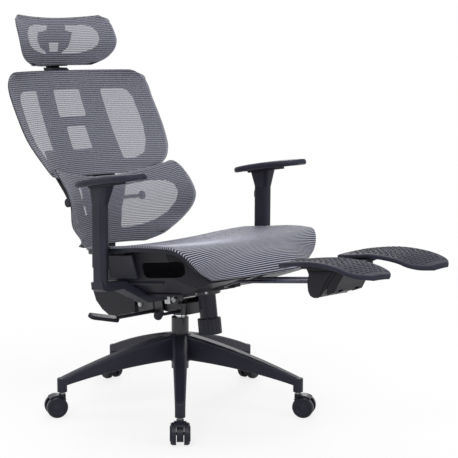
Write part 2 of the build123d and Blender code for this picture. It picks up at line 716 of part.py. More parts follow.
def pad_carrier(side):
    """Plate that swivels on the sleeve and that the pad slides along."""
    ahead = PAD_AHEAD / 2
    inset = -side * PAD_INSET / 2
    plate = Pos(inset, -ahead, 0) * extrude(RectangleRounded(CARRIER_W, CARRIER_L, 16), CARRIER_T)
    spigot = rod_z(SPIGOT_R, 0, 0, (-SPIGOT_L, 1))
    return tipped(swivel_place(side) * (plate + spigot))


PAD_ROWS_Y = (-PAD_L / 2, -PAD_L / 2 + 10, -PAD_L / 2 + 38, 0, PAD_L / 2 - 38, PAD_L / 2 - 10, PAD_L / 2)
PAD_ROWS_W = (0.42, 0.72, 0.97, 1.0, 0.97, 0.72, 0.42)


def arm_pad(side):
    """Soft pad, arched along its length and drawn in towards both ends."""
    sections = []
    inset = -side * PAD_INSET / 2
    for y, share in zip(PAD_ROWS_Y, PAD_ROWS_W):
        fall = PAD_ARCH * (2 * y / PAD_L) ** 2
        plane = Plane((inset, y - PAD_AHEAD, 0), x_dir=(1, 0, 0), z_dir=(0, -1, 0))
        thick = PAD_T * (0.62 + 0.38 * share)
        outline = RectangleRounded(PAD_W * share, thick, thick * 0.34)
        sections.append(plane * Pos(0, CARRIER_T + PAD_T - thick / 2 - fall, 0) * outline)
    track_x = (inset - CARRIER_W / 2 - GAP, inset + CARRIER_W / 2 + GAP)
    track = block(track_x, (-PAD_L, PAD_L), (-10, CARRIER_T + GAP))
    return tipped(swivel_place(side) * (loft(sections) - track))


for name, side in SIDES.items():
    save(f"arm_bracket_{name}", tipped(arm_bracket(side)))
    save(f"arm_sleeve_{name}", arm_sleeve(side))
    save(f"arm_button_{name}", arm_button(side))
    save(f"arm_carrier_{name}", pad_carrier(side))
    save(f"arm_pad_{name}", arm_pad(side))

# ---------------------------------------------------------------- footrest
def foot_rod(side):
    """Steel rod from the housing back into its runner."""
    return rod_y(ROD_R, side * ROD_X, (HOUSING_REAR - ROD_IN_HOUSING, ROD_REAR), ROD_Z)


def foot_housing():
    """Fixed knuckle on the two rods, between the cheeks of the bracket."""
    half = HOUSING_W / 2
    outline = [
        (HOUSING_REAR, HOUSING_TOP),
        (HOUSING_REAR + 5, HOUSING_TOP - 20),
        (HOUSING_REAR + 1, HOUSING_BOTTOM + 8),
        (HOUSING_REAR - 13, HOUSING_BOTTOM),
        (FLIP_Y - 8, HOUSING_BOTTOM),
        (FLIP_Y - 22, HOUSING_BOTTOM + 8),
        (FLIP_Y - 28, HOUSING_BOTTOM + 24),
        (FLIP_Y - 26, HOUSING_TOP),
    ]
    body = side_profile(outline, half)
    for side in (-1, 1):
        bore = (HOUSING_REAR - ROD_IN_HOUSING, HOUSING_REAR + 6)
        body -= rod_y(ROD_R, side * ROD_X, bore, ROD_Z)
    return body - rod_x(FLIP_PIN_R + RUN, (-half - 1, half + 1), FLIP_Y, FLIP_Z)


FOOT_PAD_ROWS = [
    # y, level of the face's middle against FOOT_PAD_LEVEL, half width
    (-543, -9, 13),
    (-555, -5, 27),
    (-577, -1, 42),
    (-607, 2, 57),
    (-647, 4, 66),
    (-697, 4, 67),
    (-742, -1, 67),
    (-787, -10, 68),
    (-822, -22, 67),
    (-847, -31, 53),
    (-864, -37, 30),
]
FOOT_PAD_HALF = 68


def foot_layer(side, lift, depth, half=None):
    """A layer that follows a pad's arch, as wide as the pad or with one half width."""
    sections = []
    for y, z, pad_half in FOOT_PAD_ROWS:
        width = pad_half if half is None else half
        row = (y, z, 0, width, -FOOT_PAD_CROWN * (width / FOOT_PAD_HALF) ** 2)
        sections.append(bowed_section(row, lift, depth))
    place = Pos(side * FOOT_PAD_X, 0, FOOT_PAD_LEVEL) * Rot(0, -side * FOOT_PAD_BANK, 0)
    return place * loft(sections)


def foot_pad(side):
    """Arched foot pad, drawn in to a rounded tail behind."""
    return foot_layer(side, 0, FOOT_PAD_T)


def foot_bracket():
    """Turning bracket: cheeks on the pin, a sloped nose and a plate under both pads."""
    reach = HOUSING_W / 2 + GAP + CHEEK_T
    cheek = [
        (HOUSING_REAR + 13, HOUSING_TOP + 60),
        (HOUSING_REAR + 4, HOUSING_TOP + 26),
        (HOUSING_REAR - 4, HOUSING_TOP + 8),
        (HOUSING_REAR + 4, HOUSING_TOP - 14),
        (HOUSING_REAR + 4, HOUSING_BOTTOM + 16),
        (HOUSING_REAR - 2, HOUSING_BOTTOM + 4),
        (FLIP_Y + 4, HOUSING_BOTTOM - 3),
        (FLIP_Y - 13, HOUSING_BOTTOM + 1),
        (FLIP_Y - 86, HOUSING_TOP + 8),
        (FLIP_Y - 110, HOUSING_TOP + 60),
    ]
    nose = [
        (FLIP_Y - 40, HOUSING_BOTTOM + 6),
        (FLIP_Y - 64, HOUSING_BOTTOM + 12),
        (FLIP_Y - 78, HOUSING_BOTTOM + 30),
        (FLIP_Y - 112, HOUSING_TOP + 18),
        (FLIP_Y - 116, HOUSING_TOP + 60),
        (FLIP_Y - 60, HOUSING_TOP + 60),
        (FLIP_Y - 42, HOUSING_TOP + 10),
    ]
    room = HOUSING_W / 2 + GAP
    bracket = side_profile(nose, reach)
    for side in (-1, 1):
        x = side * (room + CHEEK_T / 2)
        bracket += Pos(x, 0, 0) * side_profile(cheek, CHEEK_T / 2)
        groove_x = (side * ROD_X - ROD_R - 3, side * ROD_X + ROD_R + 3)
        bracket -= block(groove_x, (FLIP_Y - 120, FLIP_Y - 30), (HOUSING_BOTTOM, FLIP_Z - 4))
    lift = -FOOT_PAD_T - GAP
    wide = FOOT_PAD_X + 26
    y = (FLIP_Y - 108, HOUSING_REAR + 9)
    arm_y = (FLIP_Y - 108, FLIP_Y - 50)
    z = (HOUSING_BOTTOM, HOUSING_TOP + 90)
    under, plate = None, None
    for side in (-1, 1):
        near = block(sorted((0, side * wide)), y, z)
        column = block(sorted((0, side * (reach + 12))), y, z) + block(sorted((0, side * wide)), arm_y, z)
        half_under = foot_layer(side, lift, 130, wide + 20) & near
        half_plate = foot_layer(side, lift, FOOT_PLATE_T, wide + 20) & column
        under = half_under if under is None else under + half_under
        plate = half_plate if plate is None else plate + half_plate
    bracket = (bracket & under) + plate
    return bracket - rod_x(FLIP_PIN_R, (-reach - 1, reach + 1), FLIP_Y, FLIP_Z)


for name, side in SIDES.items():
    save(f"foot_rod_{name}", tipped(foot_rod(side)))
    save(f"foot_pad_{name}", tipped(foot_pad(side)))
save("foot_housing", tipped(foot_housing()))
save("foot_bracket", tipped(foot_bracket()))
pin_reach = HOUSING_W / 2 + GAP + CHEEK_T
save("flip_pin", tipped(rod_x(FLIP_PIN_R, (-pin_reach, pin_reach), FLIP_Y, FLIP_Z)))

# ---------------------------------------------------------------- back, from the rear pivot
# Rows run from the top down: height, half width, y of the edges, y of the middle.
BACK_LINE = [
    (666, 205, 382, 443),
    (653, 245, 364, 441),
    (629, 259, 352, 434),
    (583, 263, 329, 418),
    (526, 263, 292, 392),
    (469, 258, 255, 363),
    (423, 243, 224, 338),
    (388, 220, 215, 319),
    (363, 190, 230, 305),
    (350, 140, 254, 296),
]
LUMBAR_LINE = [
    (405, 203, 206, 262),
    (388, 223, 166, 250),
    (358, 231, 124, 232),
    (328, 232, 94, 216),
    (293, 232, 77, 204),
    (258, 225, 85, 197),
    (223, 206, 104, 196),
    (193, 175, 120, 199),
    (168, 150, 144, 203),
    (148, 110, 178, 208),
]
HEAD_LINE = [
    (841, 120, 467, 490),
    (831, 165, 448, 485),
    (813, 177, 433, 474),
    (788, 181, 418, 462),
    (753, 181, 405, 455),
    (723, 170, 411, 458),
    (698, 145, 427, 465),
    (681, 110, 448, 472),
]


def upright_rows(line):
    """Turn a table of heights into rows that face forward."""
    return [(middle, z, 90, half, middle - edge) for z, half, edge, middle in line]


def windows(outlines, corner):
    """Openings through a back part, from outlines in X and Z on the +X side."""
    cutter = None
    for points in outlines:
        opening = front_profile(points, (-50, 600))
        opening = fillet(opening.edges().filter_by(Axis.Y), corner)
        cutter = opening if cutter is None else cutter + opening
    return cutter


def across(half_outline):
    """A closed outline from its +X half, given from the top down."""
    return half_outline + [(-x, z) for x, z in reversed(half_outline)]


def both_sides(outline):
    """An outline and its mirror image."""
    return [outline, [(-x, z) for x, z in reversed(outline)]]


BACK_SIDE_WINDOW = [(117, 609), (178, 609), (206, 602), (217, 580), (219, 530), (218, 489), (209, 448)]
BACK_SIDE_WINDOW += [(190, 411), (164, 396), (122, 391)]
BACK_TOP_WINDOW = [(-53, 609), (53, 609), (55, 524), (-55, 524)]
BACK_LOW_WINDOW = [(-40, 496), (40, 496), (42, 385), (-42, 385)]
LUMBAR_WINDOW = [(60, 322), (90, 328), (140, 333), (180, 333), (198, 322), (203, 300), (196, 270)]
LUMBAR_WINDOW += [(177, 238), (145, 214), (111, 201), (75, 195), (33, 194), (34, 254)]
HEAD_WINDOW_HALF = [(96, 807), (122, 801), (136, 784), (138, 764), (131, 745), (112, 731), (80, 721), (30, 715)]
HEAD_HORN_HALF = [(31, 835), (31, 790), (60, 784), (60, 760), (50, 738), (27, 722), (27, 705)]
HEAD_HORN_SIDE = [(493, 705), (489, 770), (476, 798), (466, 815), (472, 828), (486, 812), (499, 774), (503, 705)]
HEAD_HORN_HOLE = [(-24, 752), (20, 752), (17, 724), (-20, 724)]

back_rows = upright_rows(BACK_LINE)
lumbar_rows = upright_rows(LUMBAR_LINE)
head_rows = upright_rows(HEAD_LINE)


def top_dip(half, crest, middle):
    """Cutter above a line that sinks between two crests at a panel's top."""
    arc = ThreePointArc((-half, crest), (0, middle), (half, crest))
    lid = Polyline((half, crest), (half, crest + 90), (-half, crest + 90), (-half, crest))
    face = Plane((0, 600, 0), x_dir=(1, 0, 0), z_dir=(0, -1, 0)) * make_face([arc, lid])
    return extrude(face, 650)


lumbar_dip = top_dip(236, 398, 350)
head_dip = top_dip(186, 843, 829)


def back_frame():
    """Moulded frame behind the upper mesh: a rim, two uprights and a crossbar."""
    frame = bowed_panel(narrowed(back_rows, BACK_RING_INSET), -BACK_MESH_T - BACK_CLOTH_GAP, BACK_RING_T)
    outlines = both_sides(BACK_SIDE_WINDOW) + [BACK_TOP_WINDOW, BACK_LOW_WINDOW]
    frame -= windows(outlines, 10)
    socket = side_profile(HEAD_SOCKET, BAR_W / 2)
    socket -= bowed_panel(back_rows, 60, 60 + BACK_MESH_T + BACK_RING_T - 2)
    socket -= post_strip(HEAD_POST_W / 2 + GAP, HEAD_POST_T / 2 + GAP, HEAD_POST_FOOT - 20, 700)
    return frame + socket


def lumbar_frame():
    """Moulded frame of the lumbar panel with two open wings and its pin lugs."""
    frame = bowed_panel(narrowed(lumbar_rows, BACK_RING_INSET), -BACK_MESH_T - LUMBAR_CLOTH_GAP, LUMBAR_RING_T)
    frame = frame - windows(both_sides(LUMBAR_WINDOW), 8) - lumbar_dip
    front = bowed_panel(lumbar_rows, 60, 60 + BACK_MESH_T + LUMBAR_RING_T - 2)
    start = BAR_W / 2 + YOKE_WALL + 2 * GAP
    for side in (-1, 1):
        x = sorted((side * start, side * (start + LUG_T)))
        lug = block(x, (YOKE_Y - 40, YOKE_Y), (YOKE_Z - LUG_R, YOKE_Z + LUG_R))
        lug += rod_x(LUG_R, x, YOKE_Y, YOKE_Z)
        frame += lug - front
    bore = start + LUG_T + 1
    return frame - rod_x(SHAFT_R + RUN, (-bore, bore), YOKE_Y, YOKE_Z)


def lumbar_yoke():
    """Carriage that runs on the spine, with a shaft out to both knobs."""
    side_x = BAR_W / 2 + YOKE_WALL + GAP
    high = (YOKE_Z - CARRIAGE_H / 2, YOKE_Z + CARRIAGE_H / 2)
    carriage = block((-side_x, side_x), (YOKE_Y - CARRIAGE_AHEAD, YOKE_Y + YOKE_DEPTH), high) - yoke_room()
    yoke = carriage + rod_x(SHAFT_R, (-SHAFT_HALF, SHAFT_HALF), YOKE_Y, YOKE_Z)
    for side in (-1, 1):
        end = sorted((side * (SHAFT_HALF - PIN_IN_SHAFT), side * (SHAFT_HALF + 1)))
        yoke -= rod_x(WING_PIN_R + RUN, end, YOKE_Y, YOKE_Z)
    return yoke


def lumbar_knob(side):
    """Knob on the end of the shaft, with the screw that it drives into it."""
    start = SHAFT_HALF + GAP
    knob = rod_x(WING_KNOB_R, sorted((side * start, side * (start + WING_KNOB_T))), YOKE_Y, YOKE_Z)
    knob = fillet(knob.edges().filter_by(GeomType.CIRCLE), 2)
    pin = sorted((side * (SHAFT_HALF - PIN_IN_SHAFT + GAP), side * (start + 1)))
    return knob + rod_x(WING_PIN_R, pin, YOKE_Y, YOKE_Z)


def head_frame():
    """Headrest frame with two windows and the barrel of its tilt hinge."""
    frame = bowed_panel(narrowed(head_rows, 3), -BACK_MESH_T - HEAD_CLOTH_GAP, HEAD_RING_T)
    frame = frame - windows([across(HEAD_WINDOW_HALF)], 12) - head_dip
    half = HEAD_BARREL_W / 2
    barrel = rod_x(HEAD_BARREL_R, (-half, half), HEAD_PIVOT_Y, HEAD_PIVOT_Z)
    barrel += block((-half, half), (470, HEAD_PIVOT_Y), (HEAD_PIVOT_Z - 8, HEAD_PIVOT_Z + HEAD_BARREL_R))
    horn = side_profile(HEAD_HORN_SIDE, 70) & front_profile(across(HEAD_HORN_HALF), (440, 520))
    horn -= front_profile(HEAD_HORN_HOLE, (440, 520))
    barrel += horn
    barrel -= bowed_panel(head_rows, 60, 60 + BACK_MESH_T + HEAD_RING_T - 0.5)
    frame += barrel
    return frame - rod_x(PIVOT_R + RUN, (-half - 1, half + 1), HEAD_PIVOT_Y, HEAD_PIVOT_Z)


BAR_FRONT = [(22, 18), (110, 20), (172, 36), (203, 64), (221, 105), (236, 150), (254, 215), (279, 286)]
BAR_BACK = [(386, 424), (350, 362), (316, 300), (290, 232), (268, 160)]
BAR_BACK += [(258, 110), (248, 60), (228, 6), (213, -23), (183, -45), (144, -60), (95, -61), (24, -40)]


POST_SLOPE = 0.5  # how far the post leans back for each mm up
POST_LINE_Y, POST_LINE_Z = 430, 526  # a point on the post's middle line
HEAD_SOCKET = [(440, 612), (440, 656), (470, 674), (514, 674), (484, 612)]
STRUT_FRONT = [(246, 120), (262, 175), (280, 232), (303, 290), (338, 362), (366, 412)]
STRUT_BACK = [(386, 424), (350, 362), (316, 300), (291, 228), (272, 168), (256, 112)]
STRUT_HALF = [(118, 424), (118, 366), (96, 300), (74, 232), (58, 170), (44, 112)]
STRUT_GAP = (228, 338)  # heights between which the struts stand clear of the spine
STRUT_INNER = 43


def post_y(z):
    """The middle of the headrest post at a height."""
    return POST_LINE_Y + (z - POST_LINE_Z) * POST_SLOPE


def post_strip(half, thick, low, high):
    """A flat strip along the headrest post's line."""
    lean = (1 + POST_SLOPE**2) ** 0.5 * thick
    outline = [(post_y(low) - lean, low), (post_y(low) + lean, low)]
    outline += [(post_y(high) + lean, high), (post_y(high) - lean, high)]
    return side_profile(outline, half)


def yoke_room():
    """Space around the spine that the carriage leaves free over its travel."""
    spine_front = [(y - 2, z) for y, z in BAR_FRONT[4:]] + [(303, 362), (325, 424)]
    outline = spine_front + [(500, 424), (400, 105)]
    return side_profile(outline, BAR_W / 2 + GAP)


def back_bar():
    """J-shaped bar: a barrel at the pivot, a deep belly and a spine up the back."""
    spine_front = BAR_FRONT + [(322, 362), (356, 424)]
    spine = side_profile(spine_front + BAR_BACK, BAR_W / 2)
    belly = side_profile(spine_front + BAR_BACK, BELLY_W / 2)
    belly &= block((-BELLY_W, BELLY_W), (PLATE_REAR - REAR_PIVOT_Y + 8, 300), (-90, 30))
    half = BARREL_W / 2
    barrel = rod_x(BARREL_R, (-half, half), 0, 0)
    neck = block((-half + 5, half - 5), (0, 30), (-BARREL_R + 2, BARREL_R - 2))
    struts = side_profile(STRUT_FRONT + STRUT_BACK, 130) & front_profile(across(STRUT_HALF), (200, 420))
    struts -= block((-STRUT_INNER, STRUT_INNER), (200, 420), STRUT_GAP)
    bar = belly + spine + barrel + neck + struts
    bar -= bowed_panel(back_rows, 60, 60 + BACK_MESH_T + BACK_RING_T + 2 * GAP)
    return bar - rod_x(PIVOT_R + RUN, (-half - 1, half + 1), 0, 0)


def head_post():
    """Flat post that slides in the bar's slot, with a neck and the hinge's ears."""
    post = post_strip(HEAD_POST_W / 2, HEAD_POST_T / 2, HEAD_POST_FOOT, HEAD_NECK_Z + 10)
    half = HEAD_NECK_W / 2
    neck = post_strip(half, HEAD_POST_T / 2 + 3, HEAD_NECK_Z, HEAD_PIVOT_Z)
    ears = rod_x(HEAD_EAR_R, (-half, half), HEAD_PIVOT_Y, HEAD_PIVOT_Z)
    ears += side_profile(
        [
            (post_y(HEAD_NECK_Z + 5), HEAD_NECK_Z + 5),
            (post_y(HEAD_PIVOT_Z), HEAD_PIVOT_Z),
            (HEAD_PIVOT_Y, HEAD_PIVOT_Z + HEAD_EAR_R),
            (HEAD_PIVOT_Y - HEAD_EAR_R + 1, HEAD_PIVOT_Z),
        ],
        half,
    )
    gap = HEAD_BARREL_W / 2 + GAP
    room = rod_x(HEAD_EAR_R + 8, (-gap, gap), HEAD_PIVOT_Y, HEAD_PIVOT_Z)
    room += block((-gap, gap), (HEAD_PIVOT_Y - 40, HEAD_PIVOT_Y), (HEAD_PIVOT_Z - 20, HEAD_PIVOT_Z + 20))
    axle = rod_x(PIVOT_R, (-gap - 1, gap + 1), HEAD_PIVOT_Y, HEAD_PIVOT_Z)
    return post + ((neck + ears) - room) + axle


save("back_frame", in_back(back_frame()))
save("back_mesh", in_back(bowed_panel(back_rows, 0, BACK_MESH_T)))
save("back_bar", in_back(back_bar()))
save("lumbar_frame", in_back(lumbar_frame()))
save("lumbar_mesh", in_back(bowed_panel(lumbar_rows, 0, BACK_MESH_T) - lumbar_dip))
save("head_frame", in_back(head_frame()))
save("head_mesh", in_back(bowed_panel(head_rows, 0, BACK_MESH_T) - head_dip))
save("lumbar_yoke", in_back(lumbar_yoke()))
for name, side in SIDES.items():
    save(f"lumbar_knob_{name}", in_back(lumbar_knob(side)))
save("head_post", in_back(head_post()))
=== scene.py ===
# %% [markdown]
# # A reclining mesh chair, dressed for a studio picture
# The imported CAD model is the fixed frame: every leg, bar, lever and hinge already has its size
# and its place. This lesson adds what CAD leaves plain: woven cloth stretched over the frames,
# moulded pads, screws and caps, and a material for every surface.

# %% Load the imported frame
import bisect
import json
import math

import bmesh
import bpy
from mathutils import Matrix, Vector


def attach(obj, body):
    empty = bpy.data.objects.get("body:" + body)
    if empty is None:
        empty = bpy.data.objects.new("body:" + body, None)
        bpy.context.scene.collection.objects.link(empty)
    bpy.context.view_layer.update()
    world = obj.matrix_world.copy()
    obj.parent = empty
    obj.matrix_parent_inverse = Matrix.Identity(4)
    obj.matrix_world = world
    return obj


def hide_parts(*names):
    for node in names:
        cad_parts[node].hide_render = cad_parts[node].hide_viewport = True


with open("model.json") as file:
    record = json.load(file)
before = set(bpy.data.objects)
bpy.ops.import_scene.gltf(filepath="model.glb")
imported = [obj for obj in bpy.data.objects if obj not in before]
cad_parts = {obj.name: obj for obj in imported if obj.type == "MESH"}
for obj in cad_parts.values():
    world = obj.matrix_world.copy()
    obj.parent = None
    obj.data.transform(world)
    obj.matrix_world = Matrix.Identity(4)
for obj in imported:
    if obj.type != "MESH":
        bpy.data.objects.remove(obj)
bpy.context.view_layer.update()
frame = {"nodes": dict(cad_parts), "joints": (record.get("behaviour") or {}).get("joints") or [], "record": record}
nodes = frame["nodes"]
bpy.ops.object.select_all(action="DESELECT")

# %% [markdown]
# ## The camera and the light
# The picture was taken from the front right of the sitter with a long lens, so upright lines
# stay nearly parallel. A turned camera could also frame the footrest, but it would make the
# upright lines lean, so the lens is shifted sideways instead. Large soft lamps stand round the
# chair, as in a product studio, because small ones would draw hard spots on the black parts.

# %% Camera
CAMERA_AZIMUTH = math.radians(-40.312)
CAMERA_PITCH = math.radians(8.829)
camera_data = bpy.data.cameras.new("studio_camera")
camera = bpy.data.objects.new("studio_camera", camera_data)
bpy.context.scene.collection.objects.link(camera)
camera_data.sensor_width = 36.0
camera_data.lens = 101.53
camera_data.shift_x = 0.1068
camera.location = (-2.3563, -2.7771, 1.0832)
level, down = math.cos(CAMERA_PITCH), math.sin(CAMERA_PITCH)
look = Vector((-math.sin(CAMERA_AZIMUTH) * level, math.cos(CAMERA_AZIMUTH) * level, -down))
camera.rotation_mode = "QUATERNION"
camera.rotation_quaternion = look.to_track_quat("-Z", "Y")
bpy.context.scene.camera = camera
bpy.context.scene.view_settings.view_transform = "Standard"
print("camera at", camera.location[:], "lens", camera_data.lens)


# %% Lamps
def lamp(name, place, target, width, power):
    """A square soft lamp that faces a point."""
    data = bpy.data.lights.new(name, "AREA")
    data.size = width
    data.energy = power
    holder = bpy.data.objects.new(name, data)
    bpy.context.scene.collection.objects.link(holder)
    holder.location = place
    aim = Vector(target) - Vector(place)
    holder.rotation_mode = "QUATERNION"
    holder.rotation_quaternion = aim.to_track_quat("-Z", "Y")
    return holder


lamp("lamp_key", (-2.6, -1.6, 2.9), (0, 0, 0.6), 2.2, 62)
lamp("lamp_front", (0.9, -3.4, 2.0), (0, -0.2, 0.5), 2.2, 42)
lamp("lamp_top", (0.1, 0.4, 3.4), (0, 0, 0.4), 2.6, 48)
lamp("lamp_rear", (2.4, 2.2, 2.0), (0, 0, 0.7), 2.0, 34)

# %% [markdown]
# ## A small kit for shader maths
# Node trees get hard to read when every sum is a node and two links. A small class wraps one
# socket, so that Python's own operators add the Math nodes: `1 - mask` is one Subtract node.


# %% Shader kit
class Flow:
    """One output socket that answers to Python's operators."""

    def __init__(self, bench, socket):
        self.bench = bench
        self.socket = socket

    def maths(self, operation, *values):
        return self.bench.add("ShaderNodeMath", {"operation": operation}, dict(enumerate(values)))

    def __add__(self, other):
        return self.maths("ADD", self, other)

    __radd__ = __add__

    def __sub__(self, other):
        return self.maths("SUBTRACT", self, other)

    def __rsub__(self, other):
        return self.maths("SUBTRACT", other, self)

    def __mul__(self, other):
        return self.maths("MULTIPLY", self, other)

    __rmul__ = __mul__

    def __truediv__(self, other):
        return self.maths("DIVIDE", self, other)

    def fraction(self):
        return self.maths("FRACT", self)

    def distance_from(self, middle):
        return self.maths("ABSOLUTE", self - middle)

    def clamped(self):
        return self.maths("MINIMUM", self.maths("MAXIMUM", self, 0.0), 1.0)

    def larger(self, other):
        return self.maths("MAXIMUM", self, other)

    def ramp(self, low, high):
        """0 below low, 1 above high and a straight line between."""
        return ((self - low) / (high - low)).clamped()

    def cosine(self):
        return self.maths("COSINE", self)


class Bench:
    """One material and its node tree."""

    def __init__(self, name, **settings):
        self.material = bpy.data.materials.new(name)
        self.material.use_nodes = True
        self.tree = self.material.node_tree
        self.tree.nodes.clear()
        self.output = self.tree.nodes.new("ShaderNodeOutputMaterial")
        self.shader = self.tree.nodes.new("ShaderNodeBsdfPrincipled")
        self.tree.links.new(self.shader.outputs[0], self.output.inputs[0])
        for socket, value in settings.items():
            self.shader.inputs[socket.replace("_", " ")].default_value = value

    def feed(self, socket, value):
        """Link a Flow to a socket, or set the socket's own value."""
        if isinstance(value, Flow):
            self.tree.links.new(value.socket, socket)
        else:
            socket.default_value = value

    def add(self, kind, settings=None, values=None, out=0):
        """Any node from its type, its settings and what goes into its sockets."""
        node = self.tree.nodes.new(kind)
        for setting, value in (settings or {}).items():
            setattr(node, setting, value)
        for socket, value in (values or {}).items():
            self.feed(node.inputs[socket], value)
        return Flow(self, node.outputs[out])

    def place(self):
        return self.add("ShaderNodeTexCoord", out="Object")

    def attribute(self, name):
        return self.add("ShaderNodeAttribute", {"attribute_name": name}, out="Vector")

    def part(self, vector, axis):
        return self.add("ShaderNodeSeparateXYZ", None, {0: vector}, out=axis)

    def noise(self, vector, scale, detail=2.0, roughness=0.5):
        values = {"Vector": vector, "Scale": scale, "Detail": detail, "Roughness": roughness}
        return self.add("ShaderNodeTexNoise", None, values, out=0)

    def mixed(self, share, low, high):
        """A colour between two colours."""
        values = {0: share, 6: low, 7: high}
        return self.add("ShaderNodeMix", {"data_type": "RGBA"}, values, out=2)

    def bump(self, height, strength, distance, edge=None):
        """Bump from a height, over edges rounded by the given radius."""
        values = {"Strength": strength, "Distance": distance, "Height": height}
        if edge:
            values["Normal"] = self.add("ShaderNodeBevel", {"samples": 4}, {"Radius": edge})
        return self.add("ShaderNodeBump", None, values)

    def finish(self, colour=None, roughness=None, normal=None, alpha=None):
        fed = {"Base Color": colour, "Roughness": roughness, "Normal": normal, "Alpha": alpha}
        for name, value in fed.items():
            if value is not None:
                self.feed(self.shader.inputs[name], value)
        return self.material


def grey(level, blue=1.75):
    """A linear grey with a cool cast, which the photograph's near blacks have."""
    return (level, level * 1.02, level * blue, 1.0)


# %% [markdown]
# ## Moulded plastic, paint and steel
# Moulded nylon is near black, but never one flat value. A fine spark-eroded grain breaks its
# highlights, a slow cloud shifts its colour where the melt cooled, and corners catch light
# because a mould has no knife edges. An image of a real grain would need every CAD part
# unwrapped, so noise on Object coordinates stands in for it and shows no seam. A Bevel node
# rounds the shading of each CAD edge, which costs no faces.


# %% Plastics
def moulded(name, level, rough, grain=0.35, grain_size=1500.0, edge=0.0012):
    """Moulded plastic with a spark-eroded grain."""
    bench = Bench(name, Specular_IOR_Level=0.24)
    place = bench.place()
    cloud = bench.noise(place, 9.0, 3.0)
    fine = bench.noise(place, grain_size, 1.0, 0.6)
    colour = bench.mixed(cloud.ramp(0.3, 0.7), grey(level * 0.86), grey(level * 1.16))
    roughness = rough + (cloud - 0.5) * 0.10 + (fine - 0.5) * 0.12
    normal = bench.bump(fine, grain, 0.0003, edge)
    return bench.finish(colour, roughness, normal)


base_nylon = moulded("base_nylon", 0.015, 0.44, 0.30, 1300.0, 0.0016)
caster_nylon = moulded("caster_nylon", 0.013, 0.32, 0.12, 1600.0, 0.0014)
wheel_nylon = moulded("wheel_nylon", 0.011, 0.28, 0.10, 1600.0, 0.0016)
frame_black = moulded("frame_black", 0.011, 0.42, 0.25, 1400.0, 0.0014)
shell_black = moulded("shell_black", 0.007, 0.40, 0.45, 1100.0, 0.0018)
arm_black = moulded("arm_black", 0.016, 0.40, 0.30, 1400.0, 0.0016)
knob_black = moulded("knob_black", 0.014, 0.36, 0.25, 1500.0, 0.0010)
lever_black = moulded("lever_black", 0.011, 0.34, 0.25, 1500.0, 0.0014)
# The spring can's colour is painted lighter than the mechanism's black, as a painted reflection; its low roughness
# also gives it a real highlight.
can_black_painted_reflection = moulded("can_black_painted_reflection", 0.018, 0.14, 0.05, 900.0, 0.0010)
print("moulded finishes:", base_nylon.name, "to", can_black_painted_reflection.name)


# %% [markdown]
# ## Painted and bare metal
# The pressed plates are powder coated: a soft orange-peel surface. The bolts and the strap are
# bare and bright, with fine lines along them, and the piston is polished. The lines could come
# from anisotropy, but noise stretched through a Mapping node also survives baking.


# %% Metals
def powder_coat(name, level, rough):
    """Black powder coat with its orange peel."""
    bench = Bench(name, Specular_IOR_Level=0.5, Coat_Weight=0.15, Coat_Roughness=0.3)
    place = bench.place()
    peel = bench.noise(place, 420.0, 2.0)
    cloud = bench.noise(place, 14.0, 2.0)
    colour = bench.mixed(cloud.ramp(0.35, 0.65), grey(level * 0.9), grey(level * 1.2))
    roughness = rough + (cloud - 0.5) * 0.12
    return bench.finish(colour, roughness, bench.bump(peel, 0.35, 0.0003, 0.0010))


def bare_steel(name, level, rough, lines=0.25):
    """Steel with fine drawn lines."""
    bench = Bench(name, Metallic=1.0)
    place = bench.place()
    stretch = bench.add("ShaderNodeMapping", None, {"Vector": place, "Scale": (90.0, 90.0, 2600.0)})
    drawn = bench.noise(stretch, 1.0, 2.0)
    cloud = bench.noise(place, 30.0, 2.0)
    colour = bench.mixed(cloud, grey(level * 0.8, 1.03), grey(level * 1.1, 1.03))
    roughness = rough + (drawn - 0.5) * 0.16
    return bench.finish(colour, roughness, bench.bump(drawn, lines, 0.0001, 0.0006))


mech_black = powder_coat("mech_black", 0.010, 0.34)
tube_black = powder_coat("tube_black", 0.008, 0.30)
rod_black = powder_coat("rod_black", 0.030, 0.28)
bolt_steel = bare_steel("bolt_steel", 0.55, 0.34)
pin_steel = bare_steel("pin_steel", 0.42, 0.36)
steel_dark = bare_steel("steel_dark", 0.30, 0.38)
piston_steel = bare_steel("piston_steel", 0.78, 0.12, 0.05)
print("metal finishes:", mech_black.name, "to", piston_steel.name)


# %% [markdown]
# ## Soft pads
# Arm pads are self-skinned polyurethane: matt, slightly mottled, with a leathery pore. The foot
# pads are a harder rubber with a finer pore. Pores are cells that touch, so a Voronoi pattern
# fits them better than noise, and its smooth kind has no sharp creases.


# %% Soft materials
def soft_skin(name, level, rough, pore, depth):
    """Self-skinned foam or rubber with pores."""
    bench = Bench(name, Specular_IOR_Level=0.15, Sheen_Weight=0.02, Sheen_Roughness=0.5)
    place = bench.place()
    pores = bench.add(
        "ShaderNodeTexVoronoi",
        {"feature": "SMOOTH_F1"},
        {"Vector": place, "Scale": pore, "Smoothness": 0.5},
    )
    cloud = bench.noise(place, 22.0, 3.0)
    colour = bench.mixed(cloud.ramp(0.3, 0.7), grey(level * 0.82), grey(level * 1.18))
    roughness = rough + (cloud - 0.5) * 0.14
    return bench.finish(colour, roughness, bench.bump(pores, depth, 0.0004))


pad_soft = soft_skin("pad_soft", 0.020, 0.50, 620.0, 0.30)
footpad_black = soft_skin("footpad_black", 0.017, 0.60, 900.0, 0.25)
print("pad finishes:", pad_soft.name, footpad_black.name)

# %% [markdown]
# ## Woven mesh
# The cloth is a one-way stretch mesh: thick soft ribs lie side by side, and thin elastic threads
# tie them with open holes between. Light comes through the holes, so the cloth looks pale over
# a window of its frame and dark over the frame itself. Modelled threads would take millions of
# faces, so only the ribs stand up in the mesh, and the holes are alpha. The pattern follows the
# cloth through an attribute, `cloth`, that holds each point's own distance across and along it
# in metres, because a pattern on Object coordinates would stretch where the cloth turns.

